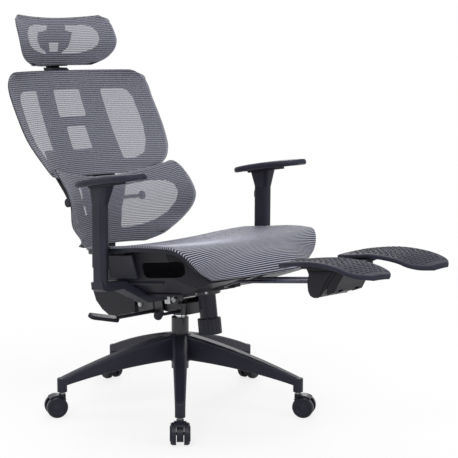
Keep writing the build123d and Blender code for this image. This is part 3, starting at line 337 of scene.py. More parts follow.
# %% Cloth
RIB_PITCH = 0.0064
TIE_PITCH = 0.0018
RIB_SOFTNESS = 0.06
TIE_SWING = 0.6
CLOTH_BLUE = 1.27


def woven(name, rib_level, tie_level, rib_share, cover):
    """Ribbed mesh cloth: solid ribs, and ties between them that stop a share of the light."""
    bench = Bench(name, Specular_IOR_Level=0.3, Sheen_Weight=0.2, Sheen_Roughness=0.4)
    cloth = bench.attribute("cloth")
    across = bench.part(cloth, 0)
    along = bench.part(cloth, 1)
    waver = (bench.noise(bench.place(), 60.0, 1.0) - 0.5) * 0.06
    from_rib = (along / RIB_PITCH + waver).fraction().distance_from(0.5)
    rib = 1 - from_rib.ramp(rib_share / 2 - RIB_SOFTNESS, rib_share / 2 + RIB_SOFTNESS)
    tie = (across * (math.tau / TIE_PITCH)).cosine() * 0.5 + 0.5
    knots = bench.noise(bench.place(), 2200.0, 1.0)
    level = rib * (0.84 + knots * 0.32)
    colour = bench.mixed(level, grey(tie_level, CLOTH_BLUE), grey(rib_level, CLOTH_BLUE))
    alpha = rib.larger(tie * TIE_SWING + (cover - TIE_SWING / 2))
    height = rib * (1 - from_rib * 1.6) + knots * 0.25
    return bench.finish(colour, 0.6, bench.bump(height, 0.35, 0.0006), alpha)


mesh_back = woven("mesh_back", 0.185, 0.105, 0.52, 0.60)
# The seat's cloth is a lit and shaded copy of the back's: its ribs are painted lighter, as painted top light, and
# its ties darker, as painted shade between the ribs.
mesh_seat_painted_light = woven("mesh_seat_painted_light", 0.35, 0.012, 0.40, 0.78)
print("ribs per metre:", round(1 / RIB_PITCH), "ties per metre:", round(1 / TIE_PITCH))

# %% [markdown]
# ## Where things are
# The seat was drawn level in CAD and then tipped back by 8.5 degrees, and the back was drawn
# from its own hinge. Two helpers bring such millimetres to metres in the shared frame.

# %% Places
TILT = math.radians(8.5)
PIVOT_Y, PIVOT_Z = -35.0, 325.0


def tipped(x, y, z):
    """A point of the seat's level frame, in place."""
    dy, dz = y - PIVOT_Y, z - PIVOT_Z
    return Vector(
        (
            x,
            PIVOT_Y + dy * math.cos(TILT) + dz * math.sin(TILT),
            PIVOT_Z - dy * math.sin(TILT) + dz * math.cos(TILT),
        )
    ) * 0.001


BACK_HINGE = tipped(0.0, 122.0, 310.0)
print("back hinge at", BACK_HINGE[:])


def upright(x, y, z):
    """A point measured from the back's hinge, in place."""
    return BACK_HINGE + Vector((x, y, z)) * 0.001


# %% [markdown]
# ## Stretched cloth
# Each cloth is a bowed surface through rows. A row gives the place of the middle, the way it
# faces, half its width and how far its edges stand forward. Smooth rows are worked out between
# the given ones, six to a rib, and they rise and fall with it. The cloth turns round the frame's
# rim at all four sides and ends behind it, as where its edge is pressed into a groove. Where the
# top edge dips in its middle, the ribs sink with it and level out further down. A simulation
# could stretch a sheet over the frame, but this way the cloth lies exactly on it in every run.


# %% Stretched cloth helpers
def eased(rows, step):
    """The rows with smooth rows between them, at most step apart."""
    marks = [0.0]
    for one, two in zip(rows, rows[1:]):
        marks.append(marks[-1] + math.hypot(two[0] - one[0], two[1] - one[1]))
    slopes = []
    for i in range(len(rows)):
        low, high = max(i - 1, 0), min(i + 1, len(rows) - 1)
        if low == i or high == i:
            span = marks[high] - marks[low]
            slopes.append([(b - a) / span for a, b in zip(rows[low], rows[high])])
            continue
        before, after = marks[i] - marks[low], marks[high] - marks[i]
        slopes.append(
            [
                ((c - b) / after * before + (b - a) / before * after) / (before + after)
                for a, b, c in zip(rows[low], rows[i], rows[high])
            ]
        )
    smooth = []
    for i in range(len(rows) - 1):
        span = marks[i + 1] - marks[i]
        count = max(2, math.ceil(span / step))
        for k in range(count):
            t = k / count
            weights = (
                2 * t**3 - 3 * t**2 + 1,
                (t**3 - 2 * t**2 + t) * span,
                -2 * t**3 + 3 * t**2,
                (t**3 - t**2) * span,
            )
            parts = zip(rows[i], slopes[i], rows[i + 1], slopes[i + 1])
            smooth.append([sum(w * v for w, v in zip(weights, part)) for part in parts])
    smooth.append(list(rows[-1]))
    return smooth


def bow(x, half, rise):
    """How far a bowed row stands forward at x."""
    if abs(rise) < 1e-6:
        return 0.0
    radius = (half * half + rise * rise) / (2 * abs(rise))
    return math.copysign(radius - math.sqrt(max(radius * radius - x * x, 0.0)), rise)


def mesh_piece(name, points, faces):
    """A new object from points and faces, with nothing else on it."""
    data = bpy.data.meshes.new(name)
    data.from_pydata(points, [], faces)
    data.update()
    piece = bpy.data.objects.new(name, data)
    bpy.context.scene.collection.objects.link(piece)
    return piece


def dressed(piece, material, body):
    """Give a finished piece its material and its body."""
    piece.data.materials.clear()
    piece.data.materials.append(material)
    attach(piece, body)
    return piece


COLUMNS = 48
ROWS_PER_RIB = 6
RIB_MM = RIB_PITCH * 1000
RIB_RISE = 0.75
RIM_START = 2.6
FLAT_INSET = 3.4
SIDE_RISE = 0.7
TABLE_STEP = 3.0


def edge_turn(depth):
    """How the cloth goes round the rim: (distance in from the edge, distance behind the face)."""
    round_over = [(RIM_START, 0.0), (1.2, 0.6), (0.3, 1.7), (0.0, 3.0)]
    return round_over + [(0.0, depth - 2.0), (0.6, depth - 0.8), (2.4, depth)]


class Table:
    """The smooth rows of a cloth, found by their distance from the first one."""

    def __init__(self, rows, corner):
        self.lines = eased(rows, TABLE_STEP)
        self.corner = corner
        self.marks = [0.0]
        for one, two in zip(self.lines, self.lines[1:]):
            self.marks.append(self.marks[-1] + math.hypot(two[0] - one[0], two[1] - one[1]))
        self.length = self.marks[-1]

    def between(self, distance):
        """The values at a distance, between the two nearest smooth rows."""
        high = min(max(bisect.bisect_left(self.marks, distance), 1), len(self.lines) - 1)
        low = high - 1
        t = (distance - self.marks[low]) / (self.marks[high] - self.marks[low])
        return [a + (b - a) * t for a, b in zip(self.lines[low], self.lines[high])]

    def row(self, distance):
        """The row at a distance, with its half width rounded towards both ends."""
        line = self.between(distance)
        for end, inward in ((0.0, 1), (self.length, -1)):
            away = (distance - end) * inward
            if away < self.corner:
                edge, inner = self.between(end)[3], self.between(end + inward * self.corner)
                beyond = self.between(end + inward * (self.corner + 2))
                slope = (beyond[3] - inner[3]) / 2 * self.corner / max(inner[3] - edge, 1e-3)
                t = max(away, 0.0) / self.corner
                straight = min(max(slope, 0.0), 1.0)
                share = (1 - straight) * math.sqrt(1 - (1 - t) ** 2) + straight * t
                line[3] = edge + (inner[3] - edge) * share
        return line

    def distance_of(self, height):
        """How far from the first row the middle sinks to a height."""
        for mark, line in zip(self.marks, self.lines):
            if line[1] <= height:
                return mark
        return 0.0


def sunk(table, distance, x, crest, reach):
    """The distance of a row at x where the top edge dips: the dip fades out over reach."""
    if crest is None or distance >= reach:
        return distance
    t = max(distance, 0.0) / reach
    fade = 1 - t * t * (3 - 2 * t)
    return distance + table.distance_of(crest(x)) * fade


def cloth_row(table, distance, behind, turn, crest, reach, rise):
    """One row's points and their distances across."""
    plan = [(-1, inset, below) for inset, below in reversed(turn)]
    plan += [(2 * k / COLUMNS - 1, None, 0.0) for k in range(1, COLUMNS)]
    plan += [(1, inset, below) for inset, below in turn]
    points, across, last = [], [], None
    for share, inset, below in plan:
        inset = FLAT_INSET if inset is None else inset
        x = share * table.row(distance)[3]
        for _ in range(3 if crest else 1):
            y, z, pitch, half, lift = table.row(sunk(table, distance, x, crest, reach))
            x = share * (half - inset)
        lean = math.radians(pitch)
        on_face = below < 1.0
        height = bow(x, half, lift) - max(below, behind) + (rise if on_face else 0.0)
        outward = 0.0 if on_face else share * SIDE_RISE * rise
        points.append((x + outward, y - height * math.sin(lean), z + height * math.cos(lean)))
        here = Vector((x, bow(x, half, lift) - below))
        across.append(0.0 if last is None else across[-1] + (here - last).length)
        last = here
    middle = across[len(across) // 2]
    return points, [value - middle for value in across]


def smooth_area(points, width, rows):
    """The cloth's area without its ribs, from one row of each rib."""
    picked = list(range(0, rows, ROWS_PER_RIB)) + [rows - 1]
    total = 0.0
    for low, high in zip(picked, picked[1:]):
        for k in range(width - 1):
            a, b = points[low * width + k], points[low * width + k + 1]
            c, d = points[high * width + k], points[high * width + k + 1]
            total += ((b - a).cross(c - a).length + (c - d).cross(b - d).length) / 2
    return total


def stretched(name, rows, depth, hem, corner, place, crest=None, reach=1.0):
    """Ribbed cloth over a bowed frame: its first edge turns down by hem and the others by depth,
    and corner is the length of its rounded corners. crest(x) is the height of a dipped edge."""
    table = Table(rows, corner)
    turn = edge_turn(depth)
    stations = [(inset, below, -below) for inset, below in reversed(edge_turn(hem)[1:])]
    face_length = table.length - 2 * RIM_START
    count = round(face_length / (RIB_MM / ROWS_PER_RIB))
    for k in range(count + 1):
        at = RIM_START + face_length * k / count
        stations.append((at, 0.0, at))
    stations += [(table.length - inset, below, table.length + below) for inset, below in turn[1:]]
    points, marks = [], []
    for distance, behind, along in stations:
        wave = -math.cos(2 * math.pi * along / RIB_MM) if behind == 0 else 0.0
        rise = RIB_RISE * (wave - 1) / 2
        row, across = cloth_row(table, distance, behind, turn, crest, reach, rise)
        points += [place(*p) for p in row]
        marks += [(u * 0.001, along * 0.001, 0.0) for u in across]
    width = len(points) // len(stations)
    faces = []
    for i in range(len(stations) - 1):
        for k in range(width - 1):
            a = i * width + k
            faces.append((a, a + 1, a + width + 1, a + width))
    piece = mesh_piece(name, points, faces)
    cloth = piece.data.attributes.new("cloth", "FLOAT_VECTOR", "POINT")
    for index, mark in enumerate(marks):
        cloth.data[index].vector = mark
    edit = bmesh.new()
    edit.from_mesh(piece.data)
    toward = sum((f.normal * f.calc_area() for f in edit.faces), Vector())
    front = place(0, -1, 1) - place(0, 0, 0)
    if toward.dot(front) < 0:
        bmesh.ops.reverse_faces(edit, faces=edit.faces)
    edit.to_mesh(piece.data)
    edit.free()
    piece.data.shade_smooth()
    wide = max(m[0] for m in marks) - min(m[0] for m in marks)
    tall = (table.length + depth + hem) * 0.001
    area = smooth_area(points, width, len(stations))
    print(name, "flat", round(wide, 3), round(tall, 3), "area", round(area, 4))
    return piece, (wide, tall), min(area, wide * tall)

# %% [markdown]
# ## The seat's cloth
# The seat is a shallow saddle: its sides stand 22 mm above its middle, and its front rolls over
# into a deep lip whose edges fall away. The rows below turn from facing up to facing forward.
# The first edge goes 14 mm down behind the rear of the frame, and the other three go 7 mm.

# %% Seat cloth
SEAT_HALF = 281.0
SEAT_MIDDLE = 479.0
LIP = -428.0
SEAT_ROWS = [
    (84, SEAT_MIDDLE + 7, 0, SEAT_HALF - 60, 8),
    (70, SEAT_MIDDLE + 4, 0, SEAT_HALF - 24, 14),
    (38, SEAT_MIDDLE + 1, 0, SEAT_HALF - 2, 21),
    (-80, SEAT_MIDDLE, 0, SEAT_HALF, 22),
    (-196, SEAT_MIDDLE + 3, 0, SEAT_HALF - 1, 18),
    (LIP + 166, SEAT_MIDDLE + 3, 0, SEAT_HALF - 10, 13),
    (LIP + 124, SEAT_MIDDLE + 1, 3, SEAT_HALF - 21, 7),
    (LIP + 103, SEAT_MIDDLE - 2, 17, SEAT_HALF - 35, -5),
    (LIP + 85, SEAT_MIDDLE - 7, 30, SEAT_HALF - 47, -19),
    (LIP + 66, SEAT_MIDDLE - 15, 43, SEAT_HALF - 59, -34),
    (LIP + 39, SEAT_MIDDLE - 28, 60, SEAT_HALF - 74, -56),
    (LIP + 15, SEAT_MIDDLE - 51, 76, SEAT_HALF - 89, -76),
    (LIP + 1, 395, 88, SEAT_HALF - 111, -79),
]
seat_cloth, flat, area = stretched(
    "seat_cloth", SEAT_ROWS, depth=7.0, hem=14.0, corner=14.0, place=tipped
)
# The seat wears the copy of the cloth with painted top light and painted shade.
dressed(seat_cloth, mesh_seat_painted_light, "seat")
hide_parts("seat_mesh")

# %% [markdown]
# ## The back's three cloths
# The upper back, the lumbar panel and the headrest each hold their own cloth. Each line of a
# table is a height, half a width and how far back the edge and the middle stand, and the same
# tables shaped the frames. The last two cloths dip in the middle of their top edge.

# %% Back cloths
BACK_LINE = [
    (666, 205, 382, 443),
    (653, 245, 364, 441),
    (629, 259, 352, 434),
    (583, 263, 329, 418),
    (526, 263, 292, 392),
    (469, 258, 255, 363),
    (423, 243, 224, 338),
    (388, 220, 215, 319),
    (363, 190, 230, 305),
    (350, 140, 254, 296),
]
LUMBAR_LINE = [
    (405, 203, 206, 262),
    (388, 223, 166, 250),
    (358, 231, 124, 232),
    (328, 232, 94, 216),
    (293, 232, 77, 204),
    (258, 225, 85, 197),
    (223, 206, 104, 196),
    (193, 175, 120, 199),
    (168, 150, 144, 203),
    (148, 110, 178, 208),
]
HEAD_LINE = [
    (841, 120, 467, 490),
    (831, 165, 448, 485),
    (813, 177, 433, 474),
    (788, 181, 418, 462),
    (753, 181, 405, 455),
    (723, 170, 411, 458),
    (698, 145, 427, 465),
    (681, 110, 448, 472),
]


def facing_forward(line):
    """A table of heights as rows that face forward."""
    return [(middle, z, 90, half, middle - edge) for z, half, edge, middle in line]


def dipped(half, crest, middle):
    """The height of an arc that sinks between two crests."""
    sink = crest - middle
    radius = (half * half + sink * sink) / (2 * sink)
    return lambda x: middle + radius - math.sqrt(max(radius * radius - min(abs(x), half) ** 2, 0.0))


SIDE_TURN = 9.0
DIP_REACH = 0.85
CLOTHS = [
    ("back", "back", BACK_LINE, 15.5, 13.0, None),
    ("lumbar", "lumbar", LUMBAR_LINE, 14.0, 17.0, dipped(236, 398, 354)),
    ("head", "headrest", HEAD_LINE, 12.5, 10.0, dipped(186, 843, 829)),
]
for name, body, line, hem, corner, crest in CLOTHS:
    node, rim = f"{name}_mesh", f"{name}_frame"
    rows = facing_forward(line)
    reach = DIP_REACH * (line[0][0] - line[-1][0])
    cloth, flat, area = stretched(
        f"{name}_cloth", rows, SIDE_TURN, hem, corner, upright, crest, reach
    )
    dressed(cloth, mesh_back, body)
    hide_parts(node)

# %% [markdown]
# ## Closed pads
# A pad is a closed form through rings of points, one ring for each station along it. The rings
# are rounded boxes whose size swells and shrinks, so the sides crown and the ends pull in. A
# subdivided cube would be quicker, but it only comes near to an outline and doesn't hold it.


# %% Pad helpers
def ring(half, top, bottom, corner, crown=0.0, count=9):
    """A rounded box in X and height, whose top falls by crown towards its edges."""
    corner = min(corner, half * 0.95, (top - bottom) * 0.49)
    points = []
    centres = [
        (half - corner, top - corner, 0),
        (-half + corner, top - corner, 90),
        (-half + corner, bottom + corner, 180),
        (half - corner, bottom + corner, 270),
    ]
    for index, (cx, cz, start) in enumerate(centres):
        for k in range(count):
            a = math.radians(start + 90 * k / (count - 1))
            points.append((cx + corner * math.cos(a), cz + corner * math.sin(a)))
        following = centres[(index + 1) % 4]
        if index in (0, 2):
            for k in range(1, 8):
                t = k / 8
                height = top if index == 0 else bottom
                points.append((cx + (following[0] - cx) * t, height))
    return [(x, z - crown * (x / half) ** 2) for x, z in points]


def faced_out(piece):
    """Turn the faces of closed skins outward."""
    edit = bmesh.new()
    edit.from_mesh(piece.data)
    bmesh.ops.recalc_face_normals(edit, faces=edit.faces)
    edit.to_mesh(piece.data)
    edit.free()
    return piece


def lofted(name, rings):
    """A closed quad skin through rings of equal length, shut at both ends."""
    count = len(rings[0])
    points = [p for one in rings for p in one]
    faces = []
    for i in range(len(rings) - 1):
        for k in range(count):
            a, b = i * count + k, i * count + (k + 1) % count
            faces.append((a, b, b + count, a + count))
    faces.append(tuple(range(count)))
    faces.append(tuple(range((len(rings) - 1) * count, len(rings) * count)))
    piece = faced_out(mesh_piece(name, points, faces))
    piece.data.shade_smooth()
    return piece


# %% [markdown]
# ## Arm pads
# Each pad is 270 mm long and arches a little. It is widest over the post, narrows to a blunt
# round nose at both ends and sits on a plate that lets it slide.

# %% Arm pads
PAD_LENGTH, PAD_HALF, PAD_THICK, PAD_TOP = 270.0, 47.5, 19.0, 26.0
PAD_ARCH, PAD_CROWN = 5.0, 1.6
PAD_INWARD, PAD_FORWARD = 4.0, 35.0
PAD_PITCH = math.radians(1.2)
PAD_STEP = 7.0
PAD_SHAPE = [(0.0, 0.30), (0.02, 0.47), (0.06, 0.68), (0.12, 0.85), (0.2, 0.96)]
PAD_SHAPE += [(0.34, 1.0), (0.5, 1.0)]
PAD_SHAPE += [(1 - t, share) for t, share in reversed(PAD_SHAPE[:-1])]
ARM_LEAN = math.radians(8.5)
ARM_X, ARM_FOOT_Y, ARM_FOOT_Z = 298.0, -33.4, 389.0
SWIVEL_BEHIND, SWIVEL_UP, PLATE_GAP = 4.0, 276.0, 0.3
LEAN_COS, LEAN_SIN = math.cos(ARM_LEAN), math.sin(ARM_LEAN)
SWIVEL_Y = ARM_FOOT_Y - SWIVEL_BEHIND * LEAN_COS - SWIVEL_UP * LEAN_SIN
SWIVEL_Z = ARM_FOOT_Z - SWIVEL_BEHIND * LEAN_SIN + SWIVEL_UP * LEAN_COS + PLATE_GAP


def arm_place(side, x, y, z):
    """A point measured from an arm's swivel, in place."""
    c, s = math.cos(PAD_PITCH), math.sin(PAD_PITCH)
    return tipped(side * ARM_X + x, SWIVEL_Y + y * c + z * s, SWIVEL_Z - y * s + z * c)


for side, name in ((-1, "right"), (1, "left")):
    rings = []
    for y, share in eased([(t * PAD_LENGTH, s) for t, s in PAD_SHAPE], PAD_STEP):
        along = y - PAD_LENGTH / 2
        top = PAD_TOP - PAD_ARCH * (2 * along / PAD_LENGTH) ** 2
        thick = PAD_THICK * (0.60 + 0.40 * share)
        outline = ring(PAD_HALF * share, top, top - thick + 0.6, thick * 0.42, PAD_CROWN)
        rings.append(
            [arm_place(side, x - side * PAD_INWARD, along - PAD_FORWARD, z) for x, z in outline]
        )
    pad = lofted(f"arm_pad_skin_{name}", rings)
    dressed(pad, pad_soft, f"arm_pad_{name}")
    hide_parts(f"arm_pad_{name}")
    print(pad.name, "stations:", len(rings))

# %% [markdown]
# ## Foot pads
# Two leaf-shaped rubber pads lie side by side on the footrest. Each has a smooth tail and rim,
# and a field of short raised bars that grip the calf. Bump alone would leave the pad's outline
# smooth, so the bars are real. One bar is worked out once and set on the pad again and again,
# each copy lying on the curved face, in few faces because there are so many.

# %% Foot pads
FOOT_X, FOOT_LEVEL, FOOT_BANK = 106.0, 436.0, math.radians(2.5)
FOOT_HALF, FOOT_THICK, FOOT_CORNER, FOOT_CROWN = 68.0, 11.0, 4.4, 5.0
FOOT_ROWS = [
    (-543, -9, 13),
    (-555, -5, 27),
    (-577, -1, 42),
    (-607, 2, 57),
    (-647, 4, 66),
    (-697, 4, 67),
    (-742, -1, 67),
    (-787, -10, 68),
    (-822, -22, 67),
    (-847, -31, 53),
    (-864, -37, 30),
]


def foot_place(side, x, y, z):
    """A point of a foot pad measured from its middle line, in place."""
    lean = -side * FOOT_BANK
    c, s = math.cos(lean), math.sin(lean)
    return tipped(side * FOOT_X + x * c + z * s, y, FOOT_LEVEL - x * s + z * c)


foot_lines = eased(FOOT_ROWS, PAD_STEP)


def foot_surface(x, y):
    """Half width and height of the pad's face at a point, or nothing beyond its ends."""
    for one, two in zip(foot_lines, foot_lines[1:]):
        if two[0] <= y <= one[0]:
            t = (y - one[0]) / (two[0] - one[0])
            level = one[1] + (two[1] - one[1]) * t
            half = one[2] + (two[2] - one[2]) * t
            return half, level - FOOT_CROWN * (x / FOOT_HALF) ** 2
    return None


BAR_LENGTH, BAR_WIDTH, BAR_RISE = 11.0, 4.4, 1.1
BAR_SIDES = 8
BAR_LEVELS = ((0.0, -0.8), (0.0, 0.9), (-0.7, BAR_RISE))
BAR_COUNT = BAR_SIDES * len(BAR_LEVELS)
ROW_PITCH, BAR_PITCH = 9.5, 15.5
FIELD_REAR, FIELD_FRONT, FIELD_HALF, FIELD_RIM = -612.0, -846.0, 66.0, 8.5


def bar_outline():
    """One raised bar: a rounded top over a wider foot, as points in rings from below."""
    points = []
    for grow, height in BAR_LEVELS:
        for k in range(BAR_SIDES):
            a = math.radians(360 / BAR_SIDES * (k + 0.5))
            square = 1.0 / max(abs(math.cos(a)), abs(math.sin(a)))
            blend = 0.45 + 0.55 * square
            across = (BAR_LENGTH / 2 + grow) * math.cos(a) * blend
            along = (BAR_WIDTH / 2 + grow) * math.sin(a) * blend
            points.append((across, along, height))
    return points


bar_points = bar_outline()


def bar_on_pad(side, x, y):
    """The points of one bar laid on the pad's curved face, fewer where the face ends."""
    points = []
    for across, along, height in bar_points:
        face = foot_surface(x + across, y + along)
        if face:
            points.append(foot_place(side, x + across, y + along, face[1] + height))
    return points


def bar_faces(start):
    """A bar's walls, its top and its foot, from the number of its first point."""
    faces = []
    for layer in range(len(BAR_LEVELS) - 1):
        for k in range(BAR_SIDES):
            a = start + layer * BAR_SIDES + k
            b = start + layer * BAR_SIDES + (k + 1) % BAR_SIDES
            faces.append((a, b, b + BAR_SIDES, a + BAR_SIDES))
    faces.append(tuple(range(start + BAR_COUNT - BAR_SIDES, start + BAR_COUNT)))
    faces.append(tuple(reversed(range(start, start + BAR_SIDES))))
    return faces


for side, name in ((-1, "right"), (1, "left")):
    rings = []
    for y, level, half in foot_lines:
        crown = FOOT_CROWN * (half / FOOT_HALF) ** 2
        outline = ring(half, level, level - FOOT_THICK, FOOT_CORNER, crown)
        rings.append([foot_place(side, x, y, z) for x, z in outline])
    pad = lofted(f"foot_pad_skin_{name}", rings)
    dressed(pad, footpad_black, "foot_pads")
    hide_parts(f"foot_pad_{name}")

    points, faces, row, y = [], [], 0, FIELD_REAR
    while y > FIELD_FRONT:
        x = (row % 2) * BAR_PITCH / 2 - FIELD_HALF
        while x < FIELD_HALF:
            found = foot_surface(x, y)
            if found and abs(x) + BAR_LENGTH / 2 < found[0] - FIELD_RIM:
                bar = bar_on_pad(side, x, y)
                if len(bar) == BAR_COUNT:
                    faces += bar_faces(len(points))
                    points += bar
            x += BAR_PITCH
        y -= ROW_PITCH
        row += 1
    bars = faced_out(mesh_piece(f"foot_pad_bars_{name}", points, faces))
    dressed(bars, footpad_black, "foot_pads")
    print(name, "foot pad bars:", len(points) // BAR_COUNT)

# %% [markdown]
# ## Screws, caps and straps by operators
# Small hardware starts as a primitive at its size and is shaped in edit mode: faces are picked
# by the way they point, then inset, extruded and bevelled. A Boolean could cut the sockets, but
# it leaves long thin faces. The finished mesh is copied to every place, each with its own mesh.


# %% Operator helpers
UPWARD = 0.9


def edit_top(piece):
    """Fix a primitive's size, enter edit mode and select the faces that point up."""
    bpy.ops.object.transform_apply(location=True, rotation=True, scale=True)
    bpy.ops.object.mode_set(mode="EDIT")
    bpy.ops.mesh.select_mode(type="FACE")
    bpy.ops.mesh.select_all(action="DESELECT")
    edit = bmesh.from_edit_mesh(piece.data)
    for face in edit.faces:
        face.select = face.normal.z > UPWARD
    edit.select_flush(True)
    bmesh.update_edit_mesh(piece.data)


def bevelled(piece, width, segments=2, angle=30.0):
    """Apply a bevel to the edges sharper than an angle."""
    bpy.ops.object.select_all(action="DESELECT")
    bpy.context.view_layer.objects.active = piece
    piece.select_set(True)
    rounding = piece.modifiers.new("rounding", "BEVEL")
    rounding.width = width
    rounding.segments = segments
    rounding.limit_method = "ANGLE"
    rounding.angle_limit = math.radians(angle)
    bpy.ops.object.modifier_apply(modifier="rounding")
    bpy.ops.object.shade_smooth_by_angle(angle=math.radians(40))
    return piece


def placed_copy(source, name, matrix, material, body):
    """A copy with its own mesh, moved inside that mesh."""
    data = source.data.copy()
    data.transform(matrix)
    data.name = name
    piece = bpy.data.objects.new(name, data)
    bpy.context.scene.collection.objects.link(piece)
    return dressed(piece, material, body)


def turned(place, axis):
    """A matrix that takes +Z onto an axis at a place."""
    return Matrix.Translation(place) @ Vector(axis).to_track_quat("Z", "Y").to_matrix().to_4x4()


def laid(place, axes):
    """A matrix for a place of the seat's level frame, with its own three axes tipped along."""
    flat = Matrix(axes).transposed()
    return Matrix.Translation(tipped(*place)) @ (Matrix.Rotation(-TILT, 3, "X") @ flat).to_4x4()


def socket_screw(radius, height):
    """A pan-head screw with a round sunk socket, its foot at the origin."""
    bpy.ops.object.select_all(action="DESELECT")
    middle = (0, 0, height / 2)
    bpy.ops.mesh.primitive_cylinder_add(
        vertices=24, radius=radius, depth=height, location=middle
    )
    screw = bpy.context.active_object
    edit_top(screw)
    bpy.ops.mesh.inset(thickness=radius * 0.46)
    bpy.ops.mesh.extrude_region_move(TRANSFORM_OT_translate={"value": (0, 0, -height * 0.5)})
    bpy.ops.object.mode_set(mode="OBJECT")
    return bevelled(screw, radius * 0.10)


def capped_disc(radius, height):
    """A hub cap: a shallow dish with a raised middle, its foot at the origin."""
    bpy.ops.object.select_all(action="DESELECT")
    middle = (0, 0, height / 2)
    bpy.ops.mesh.primitive_cylinder_add(
        vertices=40, radius=radius, depth=height, location=middle
    )
    cap = bpy.context.active_object
    edit_top(cap)
    bpy.ops.mesh.inset(thickness=radius * 0.16)
    bpy.ops.mesh.extrude_region_move(TRANSFORM_OT_translate={"value": (0, 0, -height * 0.6)})
    bpy.ops.mesh.inset(thickness=radius * 0.34)
    bpy.ops.mesh.extrude_region_move(TRANSFORM_OT_translate={"value": (0, 0, height * 0.45)})
    bpy.ops.object.mode_set(mode="OBJECT")
    return bevelled(cap, radius * 0.035)


def discard(piece):
    """Remove a pattern piece after its copies are made."""
    bpy.data.objects.remove(piece)


# %% [markdown]
# ## Caster caps
# Each of the ten wheels shows a dished cap. The wheels' axle direction comes from the joints of
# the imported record, so the caps sit square on every wheel.

# %% Caster caps
WHEEL_OUTER = 0.0255
CAP_SINK = 0.0004
cap = capped_disc(radius=0.0205, height=0.0022)
for joint in frame["joints"]:
    if not joint["name"].endswith("_roll"):
        continue
    number = joint["name"].split("_")[1]
    middle, axle = Vector(joint["pos_m"]), Vector(joint["axis"]).normalized()
    for sign, tag in ((1, "a"), (-1, "b")):
        at = turned(middle + axle * sign * (WHEEL_OUTER - CAP_SINK), axle * sign)
        cap_name, body = f"caster_{number}_cap_{tag}", f"wheels_{number}"
        placed_copy(cap, cap_name, at, caster_nylon, body)
print("caster cap faces:", len(cap.data.polygons))
discard(cap)

# %% [markdown]
# ## Panels and ribs of the moulded tub
# The tub under the seat isn't a plain wall: a raised block stands behind its side opening, a
# long lip stiffens the lower wall, and a rail runs under the opening. Each starts as a cube,
# gets its inset and recess in edit mode, and is then laid on the slanting wall. They are pieces
# of their own, because a CAD node is a mesh of loose triangles and is best left alone.

# %% Shell panels
FLOOR_EDGE = (150.0, 347.0)
SIDE_LOW, SIDE_HIGH = (231.0, 402.0), (247.0, 500.0)


def wall_matrix(side, low, high, share, y):
    """A place on a slanting wall of the tub, a share of the way up from low to high.

    X runs along the wall, Y up it and Z out of it."""
    up = Vector((side * (high[0] - low[0]), 0, high[1] - low[1])).normalized()
    out = Vector((up.z * side, 0, -up.x * side))
    x, z = (a + (b - a) * share for a, b in zip(low, high))
    return laid((side * x, y, z), (up.cross(out), up, out))


def raised_panel(length, height, rise, rim, sink):
    """A block on a wall with a sunk field inside its rim, its foot at the origin."""
    bpy.ops.object.select_all(action="DESELECT")
    bpy.ops.mesh.primitive_cube_add(size=1, location=(0, 0, rise / 2 - 0.0005))
    panel = bpy.context.active_object
    panel.scale = (length, height, rise + 0.001)
    edit_top(panel)
    bpy.ops.mesh.inset(thickness=rim)
    bpy.ops.mesh.extrude_region_move(TRANSFORM_OT_translate={"value": (0, 0, -sink)})
    bpy.ops.object.mode_set(mode="OBJECT")
    return bevelled(panel, min(rim, rise) * 0.3, 3)


block = raised_panel(length=0.118, height=0.066, rise=0.007, rim=0.003, sink=0.0012)
lip = raised_panel(length=0.196, height=0.010, rise=0.004, rim=0.0025, sink=0.001)
rail = raised_panel(length=0.150, height=0.007, rise=0.005, rim=0.0018, sink=0.0008)
for side, name in ((-1, "right"), (1, "left")):
    at = wall_matrix(side, SIDE_LOW, SIDE_HIGH, share=0.40, y=-57)
    placed_copy(block, f"shell_block_{name}", at, base_nylon, "seat")
    at = wall_matrix(side, FLOOR_EDGE, SIDE_LOW, share=0.16, y=-112)
    placed_copy(lip, f"shell_lip_{name}", at, shell_black, "seat")
    at = wall_matrix(side, FLOOR_EDGE, SIDE_LOW, share=0.86, y=-128)
    placed_copy(rail, f"shell_rail_{name}", at, base_nylon, "seat")
for pattern in (block, lip, rail):
    print("shell panel faces:", len(pattern.data.polygons))
    discard(pattern)

# %% [markdown]
# ## Hardware of the mechanism
# The bright strap, the screw heads and the plates on the pressed channel are what shows of the
# tilt mechanism from the side. Large heads cover the pivots on both flanks, and three small
# ones a side go round the nose of the mechanism. The strap could be a bent cube, but a grid
# that is given a thickness keeps one even wall along its bend.

# %% Mechanism hardware
FLANGE_X = 49.0
PIVOT_PLACES = (("front", -35, 325), ("rear", 122, 310))
PIVOT_PROUD, STRAP_PROUD, PLATE_SINK = 3.6, 0.2, 0.2
NOSE_RADIUS, NOSE_MIDDLE, NOSE_LEVEL, NOSE_SINK = 38.0, -118.0, 341.0, 0.3
NOSE_TURNS = (25, -2, -47)


def flange_matrix(side, y, z, out):
    """A place on the channel's flank, out from the middle plane, with Z pointing out."""
    return laid((side * out, y, z), ((0, side, 0), (0, 0, 1), (side, 0, 0)))


def strap_piece(width, height, thick, swell):
    """A curved strap: a grid bent in edit mode, thickened and bevelled."""
    bpy.ops.object.select_all(action="DESELECT")
    bpy.ops.mesh.primitive_grid_add(x_subdivisions=12, y_subdivisions=8, size=1)
    strap = bpy.context.active_object
    strap.scale = (width, height, 1)
    bpy.ops.object.transform_apply(location=True, rotation=True, scale=True)
    bpy.ops.object.mode_set(mode="EDIT")
    edit = bmesh.from_edit_mesh(strap.data)
    for vertex in edit.verts:
        vertex.co.z = swell * math.cos(math.pi * vertex.co.x / width)
    bmesh.update_edit_mesh(strap.data)
    bpy.ops.object.mode_set(mode="OBJECT")
    wall = strap.modifiers.new("wall", "SOLIDIFY")
    wall.thickness = thick
    bpy.ops.object.modifier_apply(modifier="wall")
    return bevelled(strap, thick * 0.3)


